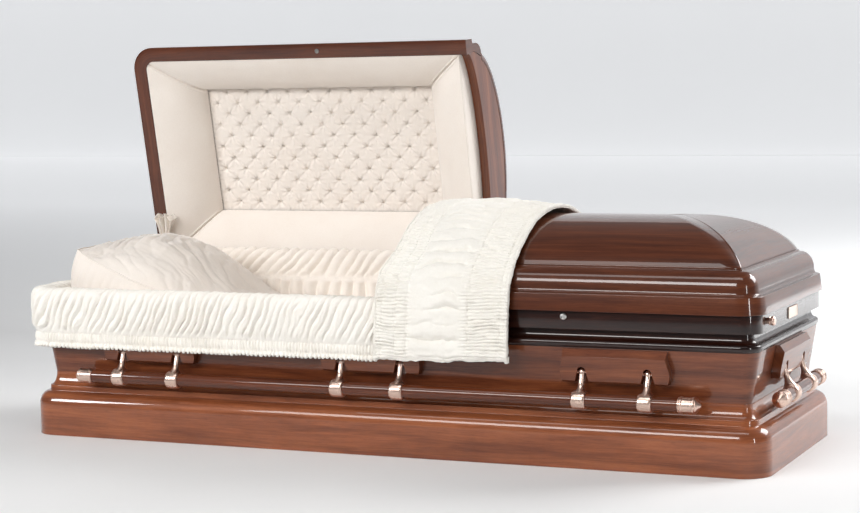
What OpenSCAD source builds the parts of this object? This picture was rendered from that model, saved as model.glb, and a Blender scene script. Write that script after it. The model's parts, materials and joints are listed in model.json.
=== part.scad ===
// Half-couch funeral casket: moulded hardwood body, two hinged lids with a hipped crown,
// swing-bar handles, tufted lid lining, folded-out skirt, pillow and a throw on the foot lid.
// Origin: centre of the underside. +X foot end, -Y front, +Z up.
// The head lid is drawn open and the foot lid closed.

/* [Body] */
// Half of the overall length of the base
base_hx = 1058; // [900:1:1300]
// Half of the overall width of the base
base_hy = 356; // [300:1:440]
// Corner radius of the base outline
corner_r = 72; // [71:1:100]
// Height of the plain vertical band of the base moulding
base_band_h = 84; // [60:1:100]
// Height of the base moulding
base_h = 175; // [160:1:200]
// Height of the lower edge of the top moulding
wall_top_z = 302; // [290:1:330]
// Height of the rim band's lower edge
rim_z0 = 348; // [335:1:375]
// Height of the rim, where the lids meet the body
rim_z1 = 394; // [370:1:430]
// Thickness of the side walls
wall_t = 19; // [14:1:20]
// Thickness of the bottom board
bottom_t = 18; // [10:1:30]

/* [Setbacks from the base outline] */
// Setback of the wall's foot
wall_foot_in = 50; // [44:1:50]
// Setback of the wall's head
wall_head_in = 28; // [24:1:32]
// Setback of the cove at the top of the top moulding
cove_in = 43; // [36:1:46]
// Setback of the rim band
rim_in = 22; // [16:1:28]
// Setback of the lids' outline at the ends
lid_end_in = 12; // [8:1:16]
// Setback of the lids' outline at the front and rear
lid_side_in = 7; // [5:1:12]

/* [Lids] */
// Corner radius of the lids' outline
lid_corner_r = 70; // [70:1:90]
// Height of the lids' vertical band
lid_band_h = 44; // [30:1:60]
// Height from the rim to the foot of the crown
crown_foot_h = 108; // [96:1:130]
// Height from the rim to the top of the crown
crown_top_h = 219; // [190:1:260]
// Thickness of the crown's shell
crown_t = 15; // [10:1:18]
// Width of the lids' underside
lid_rim_w = 43; // [36:1:46]
// Place of the joint between the two lids
split_x = 54.5; // [0:0.5:120]
// Gap between the two lids
split_gap = 3; // [2:0.5:6]
// Thickness of the arched board at each lid's cut end
end_board_t = 25; // [18:1:32]
// Gap between the lids and the body
lid_gap = 1; // [0.5:0.1:2]
// Angle between the open head lid and its closed place
head_open_deg = 78.5; // [60:0.5:80]
// Angle from closed at which the head lid comes down on the pillow
head_stop_deg = 12; // [12:0.5:30]

/* [Hinge] */
// Radius of the piano hinge's knuckles
knuckle_r = 4; // [3.5:0.1:5]
// Radius of the hinge pin
pin_r = 1.6; // [1.2:0.1:2]
// Clearance between pin and knuckle, on the radius
pin_clear = 0.08; // [0.05:0.01:0.1]
// Thickness of the hinge leaves
leaf_t = 2; // [1.5:0.1:2.5]
// Length of one knuckle
knuckle_len = 80; // [60:1:120]

/* [Handles] */
// Radius of the wooden bars
bar_r = 18; // [14:0.5:20]
// Overall length of the side bars with their caps
side_bar_len = 1800; // [1700:1:1900]
// Overall length of the foot-end bar with its caps
end_bar_len = 440; // [300:1:460]
// Length of a bar cap
cap_len = 57; // [45:1:60]
// Height of the bars' centre lines
bar_z = 174; // [168:1:180]
// Setback of the bars' centre lines from the base outline
bar_in = 2; // [0:1:6]
// Height of the arms' pivots
pivot_z = 242; // [236:1:244]
// Setback of the arms' pivots from the base outline
pivot_in = 24; // [22:1:26]
// Distance from one plaque to the next along the sides
plaque_step = 672; // [560:1:700]
// Half of the distance between a pair of arms
arm_half = 86; // [70:1:100]
// Width of an arm's collar
collar_w = 37; // [30:1:44]
// Radius of an arm's collar
collar_r = 23; // [21:0.5:24]
// Radius of an arm's trunnions
trunnion_r = 4; // [3:0.5:5]
// Half of the length across an arm's trunnions
trunnion_half = 18; // [16:0.5:20]

/* [Plaques] */
// Half of the length of a side plaque
plaque_half = 142; // [120:1:160]
// Height of the plaques' lower edge
plaque_z0 = 216; // [210:1:220]
// Height of the plaques' upper edge
plaque_z1 = 300; // [290:1:301]
// Thickness of the plaques
plaque_t = 24; // [20:1:25]
// Height of the bevel along a plaque's upper edge
plaque_bevel = 18; // [10:1:24]

/* [Soft parts] */
// Height of the bedding's top
bed_z = 290; // [240:1:300]
// Thickness of the body's lining
lining_t = 26; // [16:1:30]
// Depth of the head lid's cove lining, from the rim to the tufted panel
cove_depth = 110; // [80:1:118]
// Height of the skirt's hem
skirt_z0 = 252; // [252:1:280]
// Height of the skirt's roll above the rim
skirt_roll_h = 25; // [16:1:30]
// Length of the throw along the foot lid
throw_len = 353; // [250:1:450]
// Thickness of the throw
throw_t = 25; // [18:1:26]
// Clearance between a soft part and its seat
soft_gap = 0.3; // [0.2:0.1:0.8]

/* [Hidden] */
$fn = 48;
wood = [0.30, 0.11, 0.05];
cream = [0.93, 0.89, 0.82];
copper = [0.72, 0.47, 0.36];
nickel = [0.75, 0.74, 0.72];

// Setback of the walls at height z, outside face
function wall_in(z) =
  wall_foot_in - (wall_foot_in - wall_head_in) * (z - base_h) / (wall_top_z - base_h);
inner_in = wall_head_in + wall_t;
lid_z = rim_z1 + lid_gap;
lid_hx = base_hx - lid_end_in;
lid_hy = base_hy - lid_side_in;
head_end_x = split_x - split_gap / 2;
foot_end_x = split_x + split_gap / 2;
// Hinge axis, just behind the lids' rear edge
hinge_y = lid_hy + knuckle_r + 1;
hinge_z = rim_z1 + lid_gap / 2;
hinge_half = lid_hx - 126;
// Crown: its section and its ends are arcs of one ellipse height
ledge_in = 69;
crown_b = crown_top_h - 60;
crown_c = lid_z + 60;
crown_foot_z = lid_z + crown_foot_h;
crown_a = (lid_hy - 63.5) / sqrt(1 - pow((crown_foot_z - crown_c) / crown_b, 2));
crown_end_a = crown_a * 0.84;
crown_end_c = lid_hx - 66 - crown_end_a * (lid_hy - 63.5) / crown_a;
// Tufted panel's edges in the closed lid
panel_x0 = -(lid_hx - lid_rim_w) + 137;
panel_x1 = head_end_x - end_board_t - 140;
panel_y0 = -(lid_hy - lid_rim_w) + 103;
panel_y1 = lid_hy - lid_rim_w - 127;
panel_z = lid_z + cove_depth;
skin = 12;

// ---- Outlines and sweeps ----

// Points of an arc from angle a0 to a1 in n steps
function arc(cx, cy, rx, ry, a0, a1, n) =
  [for (i = [0 : n]) let (a = a0 + (a1 - a0) * i / n) [cx + rx * cos(a), cy + ry * sin(a)]];

// Section drawn as [distance outside the outline, height], run along +X, centred
module run_side(hy, len, section)
  rotate([90, 0, 90])
    linear_extrude(height = len, center = true)
      polygon([for (p = section) [hy + p[0], p[1]]]);

// The same section run along the +X end
module run_end(hx, len, section)
  rotate([90, 0, 0])
    linear_extrude(height = len, center = true)
      polygon([for (p = section) [hx + p[0], p[1]]]);

// The same section turned round the corner at +X, +Y
module run_corner(hx, hy, r, section)
  translate([hx - r, hy - r, 0])
    rotate_extrude(angle = 90)
      polygon([for (p = section) [r + p[0], p[1]]]);

// A section run all round a rounded rectangle
module ring(hx, hy, r, section) {
  for (s = [0, 1]) {
    mirror([0, s, 0]) run_side(hy, 2 * (hx - r), section);
    mirror([s, 0, 0]) run_end(hx, 2 * (hy - r), section);
    for (t = [0, 1]) mirror([s, 0, 0]) mirror([0, t, 0]) run_corner(hx, hy, r, section);
  }
}

// A section run round the +X end and back along both sides to x0
module u_ring(x0, hx, hy, r, section) {
  run_end(hx, 2 * (hy - r), section);
  for (s = [0, 1]) {
    mirror([0, s, 0]) run_corner(hx, hy, r, section);
    mirror([0, s, 0]) translate([(x0 + hx - r) / 2, 0, 0]) run_side(hy, hx - r - x0, section);
  }
}

module rounded_rect(hx, hy, r) {
  square([2 * (hx - r), 2 * hy], center = true);
  square([2 * hx, 2 * (hy - r)], center = true);
  for (i = [-1, 1], j = [-1, 1]) translate([i * (hx - r), j * (hy - r)]) circle(r);
}

// Moves a piece drawn in the closed head lid to the open lid
module head_lid_open()
  translate([0, hinge_y, hinge_z])
    rotate([-head_open_deg, 0, 0])
      translate([0, -hinge_y, -hinge_z])
        children();

// ---- Body ----

// Base moulding's section: band, ovolo, fillet and cove
ovolo_h = 38;
ovolo_in = 31;
fillet_h = 15;
cove_z = base_band_h + ovolo_h + fillet_h;
base_section = concat(
  [[-70, 0], [0, 0]],
  arc(-ovolo_in, base_band_h, ovolo_in, ovolo_h, 0, 90, 8),
  arc(-ovolo_in, base_h - 3, -(wall_foot_in - ovolo_in), -(base_h - 3 - cove_z), 90, 0, 7),
  [[-wall_foot_in, base_h], [-70, base_h]]
);

// Top moulding's section: bead, then a cove that draws in under the rim band
top_section = concat(
  [[-inner_in, wall_top_z], [-wall_head_in, wall_top_z]],
  arc(-wall_head_in, wall_top_z + 10, 4, 8, -90, 90, 8),
  arc(-wall_head_in, wall_top_z + 18 + 18, -(cove_in - wall_head_in), -18, 90, 0, 7),
  [[-cove_in, rim_z0], [-inner_in, rim_z0]]
);

module base_moulding()
  color(wood) ring(base_hx, base_hy, corner_r, base_section);

module bottom_board()
  color(wood)
    linear_extrude(height = bottom_t)
      rounded_rect(base_hx - 70 - soft_gap, base_hy - 70 - soft_gap, 2);

module body_shell()
  color(wood)
    ring(base_hx, base_hy, corner_r, [
      [-wall_foot_in - wall_t, base_h],
      [-wall_foot_in, base_h],
      [-wall_head_in, wall_top_z],
      [-inner_in, wall_top_z]
    ]);

module top_moulding()
  color(wood) ring(base_hx, base_hy, corner_r, top_section);

module rim_band()
  color(wood)
    ring(base_hx, base_hy, corner_r, [
      [-inner_in, rim_z0],
      [-rim_in, rim_z0],
      [-rim_in, rim_z1],
      [-inner_in, rim_z1]
    ]);

// Rail behind the rim band that carries the hinge
rail_face_y = hinge_y - leaf_t / 2 - knuckle_r + 0.5;
module hinge_rail()
  color(wood)
    translate([-hinge_half, base_hy - rim_in, rim_z1 - 30])
      cube([2 * hinge_half, rail_face_y - base_hy + rim_in, 30]);

// ---- Hinge: knuckles alternate between the body's leaf and the lids' leaves ----

knuckle_gap = 0.5;
knuckle_n = floor(2 * hinge_half / knuckle_len);
knuckle_x0 = -knuckle_n * knuckle_len / 2;
leaf_h = 20;
module body_hinge_leaf()
  color(nickel) {
    translate([knuckle_x0, rail_face_y, hinge_z - knuckle_r - leaf_h])
      cube([knuckle_n * knuckle_len, leaf_t, leaf_h]);
    for (i = [0 : 2 : knuckle_n - 1])
      translate([knuckle_x0 + i * knuckle_len + knuckle_gap / 2, rail_face_y, hinge_z - knuckle_r - 1])
        cube([knuckle_len - knuckle_gap, leaf_t, knuckle_r + 1]);
    for (i = [0 : 2 : knuckle_n - 1])
      translate([knuckle_x0 + i * knuckle_len + knuckle_gap / 2, hinge_y, hinge_z])
        rotate([0, 90, 0]) cylinder(h = knuckle_len - knuckle_gap, r = knuckle_r);
    translate([knuckle_x0 + knuckle_gap, hinge_y, hinge_z])
      rotate([0, 90, 0]) cylinder(h = knuckle_n * knuckle_len - 2 * knuckle_gap, r = pin_r);
  }

// A lid's leaf lies on the lid's rear face, with bored knuckles in the gaps of the body's leaf
module lid_leaf(x_lo, x_hi) {
  lo = max(x_lo, knuckle_x0);
  hi = min(x_hi, knuckle_x0 + knuckle_n * knuckle_len);
  translate([lo, lid_hy, hinge_z + knuckle_r + 0.5]) cube([hi - lo, leaf_t, leaf_h]);
  for (i = [1 : 2 : knuckle_n - 1]) {
    k0 = max(knuckle_x0 + i * knuckle_len + knuckle_gap, lo);
    k1 = min(knuckle_x0 + (i + 1) * knuckle_len - knuckle_gap, hi);
    if (k1 > k0 + 1) {
      translate([k0, lid_hy, hinge_z + pin_r + 1]) cube([k1 - k0, leaf_t, knuckle_r]);
      translate([k0, hinge_y, hinge_z])
        rotate([0, 90, 0])
          difference() {
            cylinder(h = k1 - k0, r = knuckle_r);
            translate([0, 0, -1]) cylinder(h = k1 - k0 + 2, r = pin_r + pin_clear);
          }
    }
  }
}

module head_hinge_leaf() color(nickel) head_lid_open() lid_leaf(-lid_hx, head_end_x);
module foot_hinge_leaf() color(nickel) lid_leaf(foot_end_x, lid_hx);

// ---- Plaques, with notches for the arms ----

notch_top_z = pivot_z + 14;
notch_r = 11;
notch_foot = 19;
// Scroll-cut end: an S in the plaque's front view
function scroll(side, half) = [
  for (i = [0 : 12]) let (s = i / 12)
    [side * (half - 3 + 4 * sin(360 * (s - 0.05))), plaque_z0 + (plaque_z1 - plaque_z0) * s]
];
function plaque_outline(half) = concat(
  scroll(1, half),
  [for (i = [12 : -1 : 0]) scroll(-1, half)[i]]
);
plaque_seat = 0.05;
plaque_section = [
  [-wall_in(plaque_z0) + plaque_seat, plaque_z0],
  [-wall_in(plaque_z0) + plaque_t - 3, plaque_z0],
  [-wall_in(plaque_z0) + plaque_t, plaque_z0 + 4],
  [-wall_in(plaque_z1 - plaque_bevel) + plaque_t, plaque_z1 - plaque_bevel],
  [-wall_in(plaque_z1) + plaque_t - 14, plaque_z1],
  [-wall_in(plaque_z1) + plaque_seat, plaque_z1]
];

module notch() {
  rotate([90, 0, 0])
    linear_extrude(height = 200, center = true)
      polygon(concat(
        [[-notch_foot, plaque_z0 - 5], [notch_foot, plaque_z0 - 5]],
        arc(0, notch_top_z - notch_r, notch_r, notch_r, 0, 180, 12)
      ));
}

// A plaque centred at x = 0 on the +Y side of an outline hy wide
module plaque(hy, half)
  difference() {
    intersection() {
      run_side(hy, 2 * half + 20, plaque_section);
      rotate([90, 0, 0]) linear_extrude(height = 3 * hy, center = true) polygon(plaque_outline(half));
    }
    for (s = [-1, 1]) translate([s * arm_half, 0, 0]) {
      translate([0, hy, 0]) notch();
      translate([0, hy - pivot_in, pivot_z])
        rotate([0, 90, 0])
          cylinder(h = 2 * (trunnion_half + 0.5), r = trunnion_r + pin_clear, center = true);
    }
  }

module plaque_front(i)
  color(wood) mirror([0, 1, 0]) translate([(i - 2) * plaque_step, 0, 0]) plaque(base_hy, plaque_half);
module plaque_rear(i)
  color(wood) translate([(i - 2) * plaque_step, 0, 0]) plaque(base_hy, plaque_half);
module plaque_foot() color(wood) rotate([0, 0, -90]) plaque(base_hx, plaque_half);

// ---- Small hardware ----

lock_x = 538;
lock_z = rim_z1 - 14;
module lock_bolt()
  color(nickel)
    translate([lock_x, -(base_hy - rim_in), lock_z])
      rotate([90, 0, 0])
        difference() {
          union() {
            cylinder(h = 3, r = 9);
            cylinder(h = 5, r = 6.5);
          }
          translate([0, 0, 1.5]) cylinder(h = 8, r = 4.2, $fn = 6);
        }

tube_y = -250;
tube_z = rim_z1 - 19;
module memorial_tube_cap()
  color(copper)
    translate([base_hx - rim_in, tube_y, tube_z])
      rotate([0, 90, 0])
        rotate_extrude()
          polygon([[0, 0], [11, 0], [11, 6], [8.5, 6.5], [8.5, 9], [11.5, 9.5], [11.5, 17], [9, 20], [0, 21]]);

plate_w = 90;
plate_h = 28;
module name_plate()
  color(copper)
    translate([base_hx - rim_in, -plate_w / 2, rim_z1 - 10 - plate_h])
      difference() {
        cube([2.4, plate_w, plate_h]);
        translate([1.6, 3, 3]) cube([2, plate_w - 6, plate_h - 6]);
      }

strike_x = -418;
module latch_strike()
  color(nickel)
    head_lid_open()
      translate([strike_x, -(lid_hy - 22), lid_z - 2])
        difference() {
          cylinder(h = 2, r = 7);
          translate([0, 0, -1]) cylinder(h = 2.2, r = 3);
        }

// ---- Lids, drawn for the +X end ----

shoulder_z = lid_z + lid_band_h;
lid_section = concat(
  [[-lid_rim_w, lid_z], [0, lid_z], [-6, shoulder_z], [-15, shoulder_z + 2]],
  arc(-15, shoulder_z + 14, -6, -12, 90, 0, 4),
  arc(-57, shoulder_z + 14, 36, crown_foot_h - lid_band_h - 18, 12, 84, 8),
  [
    [-61, crown_foot_z - 2],
    [-61, crown_foot_z],
    [-ledge_in, crown_foot_z],
    [-lid_rim_w, shoulder_z + 8]
  ]
);

// Outline of the crown, an arch that springs from below its foot
function crown_arch(a, b) = arc(0, crown_c, a, b, 180, 0, 36);
function crown_end(a, b) =
  concat([[-3 * lid_hx, crown_c - 100], [-3 * lid_hx, crown_c + b]], arc(crown_end_c, crown_c, a, b, 90, 0, 18),
    [[crown_end_c + a, crown_c - 100]]);
module crown_solid(less)
  intersection() {
    rotate([90, 0, 90]) linear_extrude(height = 4 * lid_hx, center = true)
      polygon(crown_arch(crown_a - less, crown_b - less));
    rotate([90, 0, 0]) linear_extrude(height = 4 * lid_hy, center = true)
      polygon(crown_end(crown_end_a - less, crown_b - less));
    translate([-lid_hx, -lid_hy, crown_foot_z - (less > 0 ? 1 : 0)]) cube([2 * lid_hx, 2 * lid_hy, 400]);
  }

module lid_rim(x0) u_ring(x0, lid_hx, lid_hy, lid_corner_r, lid_section);

module lid_crown(x0)
  intersection() {
    difference() {
      crown_solid(0);
      crown_solid(crown_t);
    }
    translate([x0, -lid_hy, 0]) cube([2 * lid_hx, 2 * lid_hy, 1000]);
  }

// Arched board that closes a lid's cut end, inside the rim and crown
arch_rise = 77;
arch_half = lid_hy - lid_rim_w + 4;
function board_crown() =
  [for (p = crown_arch(crown_a - crown_t - soft_gap, crown_b - crown_t - soft_gap))
    if (p[1] > crown_foot_z) p];
board_half = lid_hy - lid_rim_w - soft_gap;
board_foot = lid_z + 1 + arch_rise * sqrt(1 - pow(board_half / arch_half, 2));
ledge_half = lid_hy - ledge_in - soft_gap - 1;
board_crown_half = board_crown()[0][0] * -1 - 2;
module lid_board(x0)
  translate([x0, 0, 0])
    rotate([90, 0, 90])
      linear_extrude(height = end_board_t)
        polygon(concat(
          [[-board_half, board_foot], [-board_half, shoulder_z + 7], [-ledge_half, crown_foot_z - 1]],
          [[-board_crown_half, crown_foot_z - 1]],
          board_crown(),
          [[board_crown_half, crown_foot_z - 1]],
          [[ledge_half, crown_foot_z - 1], [board_half, shoulder_z + 7]],
          [for (i = [0 : 24]) let (y = board_half * (1 - i / 12))
            [y, lid_z + 1 + arch_rise * sqrt(1 - pow(y / arch_half, 2))]]
        ));

module foot_lid_rim() color(wood) lid_rim(foot_end_x);
module foot_lid_crown() color(wood) lid_crown(foot_end_x);
module foot_lid_board() color(wood) lid_board(foot_end_x);
module head_lid_rim() color(wood) head_lid_open() mirror([1, 0, 0]) lid_rim(-head_end_x);
module head_lid_crown() color(wood) head_lid_open() mirror([1, 0, 0]) lid_crown(-head_end_x);
module head_lid_board() color(wood) head_lid_open() mirror([1, 0, 0]) lid_board(-head_end_x);

// Cove lining of the head lid: a sloping frame from the rim to the tufted panel
lining_x0 = -(lid_hx - lid_rim_w) + 0.5;
lining_x1 = head_end_x - end_board_t - 0.5;
lining_y = lid_hy - lid_rim_w - 0.5;
module slab(x0, x1, y0, y1, z, h = 0.5) translate([x0, y0, z]) cube([x1 - x0, y1 - y0, h]);
module cove(grow, z0, z1)
  hull() {
    slab(lining_x0 - grow, lining_x1 + grow, -lining_y - grow, lining_y + grow, z0);
    slab(panel_x0 - grow, panel_x1 + grow, panel_y0 - grow, panel_y1 + grow, z1);
  }
module head_lid_lining()
  color(cream)
    head_lid_open()
      difference() {
        cove(0, lid_z + 1, panel_z);
        cove(-skin, lid_z + 0.5, panel_z + 0.5);
        difference() {
          slab(-2 * lid_hx, 2 * lid_hx, -lid_hy, lid_hy, lid_z - 5, cove_depth + 10);
          translate([0, 0, lid_z - 6])
            linear_extrude(height = cove_depth + 12)
              rounded_rect(lid_hx - lid_rim_w - 0.5, lining_y, lid_corner_r - lid_rim_w);
        }
      }

module tufted_panel()
  color(cream)
    head_lid_open()
      slab(panel_x0 + skin / 2, panel_x1 - skin / 2, panel_y0 + skin / 2, panel_y1 - skin / 2,
        panel_z + 0.5 + soft_gap, skin);

// ---- Soft parts in the body ----

module mattress()
  color(cream)
    translate([0, 0, bottom_t + soft_gap])
      linear_extrude(height = bed_z - bottom_t - soft_gap)
        rounded_rect(base_hx - 74, base_hy - 74, 20);

lining_in = inner_in + 3;
module body_lining()
  color(cream)
    translate([0, 0, bed_z + soft_gap])
      linear_extrude(height = rim_z1 - 2 - bed_z - soft_gap)
        difference() {
          rounded_rect(base_hx - lining_in, base_hy - lining_in, corner_r - lining_in + 2);
          rounded_rect(base_hx - lining_in - lining_t, base_hy - lining_in - lining_t, 20);
        }

// Pillow: a plump wedge, highest near its middle and standing against the head end
pillow_x0 = -(base_hx - lining_in - lining_t) + 12;
pillow_x1 = pillow_x0 + 500;
pillow_y = base_hy - lining_in - lining_t - 16;
module ball(x, y, z, r) translate([x, y, z]) sphere(r, $fn = 12);
module pillow()
  color(cream)
    hull() {
      slab(pillow_x0 + 20, pillow_x1 - 20, -pillow_y + 20, pillow_y - 20, bed_z + soft_gap, 1);
      for (s = [-1, 1]) {
        ball(pillow_x0 + 42, s * (pillow_y - 45), bed_z + 60, 42);
        ball(pillow_x1 - 36, s * (pillow_y - 40), bed_z + 50, 34);
      }
      ball(pillow_x0 + 38, -pillow_y + 60, bed_z + 176, 36);
      ball(pillow_x0 + 60, pillow_y - 90, bed_z + 130, 36);
      ball(pillow_x0 + 210, -pillow_y + 140, bed_z + 206, 42);
      ball(pillow_x0 + 190, pillow_y - 130, bed_z + 170, 36);
    }

// Skirt folded out over the rim: roll on top, then a hanging panel down to its hem
skirt_in = 5;
skirt_out = 10;
skirt_end_x = split_x - 31;
skirt_section = concat(
  [[-inner_in, rim_z1 + soft_gap], [-skirt_in, rim_z1 + soft_gap], [-skirt_in, skirt_z0]],
  [[skirt_out - 4, skirt_z0], [skirt_out, skirt_z0 + 10]],
  arc(skirt_out - 22, rim_z1 + soft_gap, 22, skirt_roll_h, 0, 90, 6),
  [[-inner_in, rim_z1 + skirt_roll_h - 8]]
);
// Space that the head lid passes through on its way down to its stop
module head_lid_path()
  translate([0, hinge_y, hinge_z])
    rotate([-head_stop_deg, 0, 0])
      translate([-2 * lid_hx, -3 * lid_hy, -1]) cube([4 * lid_hx, 3 * lid_hy, 600]);
module extendover()
  color(cream)
    difference() {
      union() {
        mirror([0, 1, 0])
          translate([(skirt_end_x - base_hx + corner_r) / 2, 0, 0])
            run_side(base_hy, skirt_end_x + base_hx - corner_r, skirt_section);
        mirror([1, 0, 0]) mirror([0, 1, 0]) run_corner(base_hx, base_hy, corner_r, skirt_section);
        mirror([1, 0, 0]) run_end(base_hx, 2 * (base_hy - corner_r), skirt_section);
      }
      head_lid_path();
    }

// Throw laid over the foot lid: crown, shoulder and front, down to its hem
throw_x0 = foot_end_x + soft_gap;
throw_front = lid_hy + 3;
throw_hem_z = skirt_z0 + 1;
throw_foot_z = crown_foot_z + 2;
// Arch g above the crown, from the front edge back to height rear_z
function throw_arch(g, rear_z) =
  [for (p = arc(0, crown_c, -(crown_a + g), crown_b + g, 0, 180, 40))
    if (p[1] > (p[0] > 0 ? rear_z : throw_foot_z)) p];
throw_under = throw_arch(soft_gap, throw_foot_z);
throw_over = throw_arch(throw_t, throw_foot_z + throw_t * 0.7);
module throw()
  color(cream)
    translate([throw_x0, 0, 0])
      rotate([90, 0, 90])
        linear_extrude(height = throw_len)
          polygon(concat(
            [[-throw_front, throw_hem_z], [-throw_front, shoulder_z + 6], [-lid_hy + 14, shoulder_z + 34],
              [-lid_hy + 36, crown_foot_z - 2]],
            throw_under,
            [for (i = [len(throw_over) - 1 : -1 : 0]) throw_over[i]],
            [[-lid_hy - 2, shoulder_z + 54], [-throw_front - throw_t + 4, shoulder_z + 24],
              [-throw_front - throw_t, shoulder_z - 20], [-throw_front - throw_t, throw_hem_z + 8],
              [-throw_front - throw_t + 6, throw_hem_z]]
          ));

// ---- Handles, drawn on the +Y side of an outline hy wide ----

arm_len = sqrt(pow(pivot_in - bar_in, 2) + pow(pivot_z - bar_z, 2));
arm_lean = atan2(pivot_in - bar_in, pivot_z - bar_z);
// Neck: a bell that flares into the collar, and a ball at the pivot
neck_foot_r = 16;
neck_r = 6.5;
ball_r = 8.5;
neck_section = concat(
  [[0, bar_r - 4], [neck_foot_r, bar_r - 4], [neck_foot_r, collar_r - 3]],
  arc(neck_foot_r + 1, collar_r + 21, -(neck_foot_r + 1 - neck_r), -22, 80, 0, 6),
  arc(0, arm_len, ball_r, ball_r, -44, 88, 10),
  [[0, arm_len + ball_r]]
);
module bar(hy, len)
  color(wood)
    translate([0, hy - bar_in, bar_z])
      rotate([0, 90, 0])
        cylinder(h = len - 2 * cap_len, r = bar_r, center = true);

module bar_cap(hy, len)
  color(copper)
    translate([len / 2 - cap_len, hy - bar_in, bar_z])
      rotate([0, 90, 0])
        rotate_extrude()
          polygon(concat(
            [[0, 0], [bar_r + 2.5, 0], [bar_r + 2.5, 3], [bar_r + 1.5, 4], [bar_r + 3, 5], [bar_r + 3, 9]],
            [[bar_r + 1.5, 10], [bar_r + 1.5, cap_len - 22], [bar_r + 3, cap_len - 21]],
            [[bar_r + 3, cap_len - 16], [bar_r - 2, cap_len - 12], [3, cap_len], [0, cap_len]]
          ));

// An arm in one casting: collar round the bar, flared neck, ball top and two trunnions
module arm(hy, x)
  color(copper)
    translate([x, hy - bar_in, bar_z])
      difference() {
        union() {
          rotate([0, 90, 0]) cylinder(h = collar_w, r = collar_r, center = true);
          rotate([arm_lean, 0, 0]) {
            rotate_extrude() polygon(neck_section);
            translate([0, 0, arm_len]) rotate([0, 90, 0])
              cylinder(h = 2 * trunnion_half, r = trunnion_r, center = true);
          }
        }
        rotate([0, 90, 0]) cylinder(h = collar_w + 2, r = bar_r + 0.1, center = true);
      }

function arm_x(i) = (floor((i + 1) / 2) - 2) * plaque_step + (i % 2 == 1 ? -arm_half : arm_half);
module front() mirror([0, 1, 0]) children();
module foot() rotate([0, 0, -90]) children();

// ---- Nodes ----

base_moulding();
bottom_board();
body_shell();
top_moulding();
rim_band();
hinge_rail();
for (i = [1 : 3]) {
  plaque_front(i);
  plaque_rear(i);
}
plaque_foot();
lock_bolt();
memorial_tube_cap();
name_plate();
body_hinge_leaf();
mattress();
body_lining();
pillow();
extendover();
head_lid_rim();
head_lid_crown();
head_lid_board();
head_lid_lining();
tufted_panel();
latch_strike();
head_hinge_leaf();
foot_lid_rim();
foot_lid_crown();
foot_lid_board();
throw();
foot_hinge_leaf();
front() bar(base_hy, side_bar_len);  // front_bar
bar(base_hy, side_bar_len);  // rear_bar
foot() bar(base_hx, end_bar_len);  // foot_bar
for (i = [1, 2]) mirror([i % 2, 0, 0]) {
  front() bar_cap(base_hy, side_bar_len);
  bar_cap(base_hy, side_bar_len);
}
for (i = [1, 2]) {
  foot() mirror([i % 2, 0, 0]) bar_cap(base_hx, end_bar_len);
  foot() arm(base_hx, i % 2 == 1 ? -arm_half : arm_half);
}
for (i = [1 : 6]) {
  front() arm(base_hy, arm_x(i));
  arm(base_hy, arm_x(i));
}
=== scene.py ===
import json
from math import atan2, cos, degrees, pi, radians, sin, sqrt

import bmesh
import bpy
import numpy as np
from mathutils import Matrix, Vector

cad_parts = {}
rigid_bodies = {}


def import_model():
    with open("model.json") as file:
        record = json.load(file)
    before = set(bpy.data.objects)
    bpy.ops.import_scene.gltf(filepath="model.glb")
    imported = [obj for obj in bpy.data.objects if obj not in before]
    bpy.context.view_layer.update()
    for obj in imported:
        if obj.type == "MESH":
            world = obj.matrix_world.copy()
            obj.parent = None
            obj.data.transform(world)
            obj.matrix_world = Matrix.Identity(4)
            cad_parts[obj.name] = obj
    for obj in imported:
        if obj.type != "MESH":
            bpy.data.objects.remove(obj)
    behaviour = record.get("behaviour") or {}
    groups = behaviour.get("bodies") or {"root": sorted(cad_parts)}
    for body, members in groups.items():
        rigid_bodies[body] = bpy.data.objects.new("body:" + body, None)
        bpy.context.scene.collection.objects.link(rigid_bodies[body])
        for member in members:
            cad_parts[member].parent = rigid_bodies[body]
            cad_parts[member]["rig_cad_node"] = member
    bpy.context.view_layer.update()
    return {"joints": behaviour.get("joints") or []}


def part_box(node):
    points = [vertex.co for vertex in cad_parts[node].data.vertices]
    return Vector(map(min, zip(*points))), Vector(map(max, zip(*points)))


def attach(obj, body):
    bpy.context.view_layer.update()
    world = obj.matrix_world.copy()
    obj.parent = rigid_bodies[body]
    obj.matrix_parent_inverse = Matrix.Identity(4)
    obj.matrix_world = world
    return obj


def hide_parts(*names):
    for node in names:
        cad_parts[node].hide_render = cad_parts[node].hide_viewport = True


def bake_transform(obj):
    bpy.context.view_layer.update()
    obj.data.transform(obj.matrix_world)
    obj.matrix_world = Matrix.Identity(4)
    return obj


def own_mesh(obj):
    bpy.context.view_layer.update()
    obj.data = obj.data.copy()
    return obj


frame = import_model()
MM = 0.001


# ---------------------------------------------------------------- frame ----

def corners(node):
    """A node's lowest and highest corners at rest, as arrays in metres."""
    low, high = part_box(node)
    return np.array(low, float), np.array(high, float)


base_hi = corners("base_moulding")[1]
shell_lo, shell_hi = corners("body_shell")
top_lo, top_hi = corners("top_moulding")
rim_lo, rim_hi = corners("rim_band")
lid_lo, lid_hi = corners("foot_lid_rim")
crown_lo, crown_hi = corners("foot_lid_crown")
throw_lo, throw_hi = corners("throw")
skirt_hi = corners("extendover")[1]
bed_lo, bed_hi = corners("mattress")
joints = {j["name"]: j for j in frame["joints"]}
hinge = np.array(joints["head_lid_hinge"]["pos_m"], float)

# Plan outlines: half length, half width and corner radius of the body and of the lids
BASE_HX, BASE_HY, BASE_R = base_hi[0], base_hi[1], 72 * MM
LID_HX, LID_HY, LID_R = lid_hi[0], lid_hi[1], 70 * MM
LID_Z = lid_lo[2]
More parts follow.
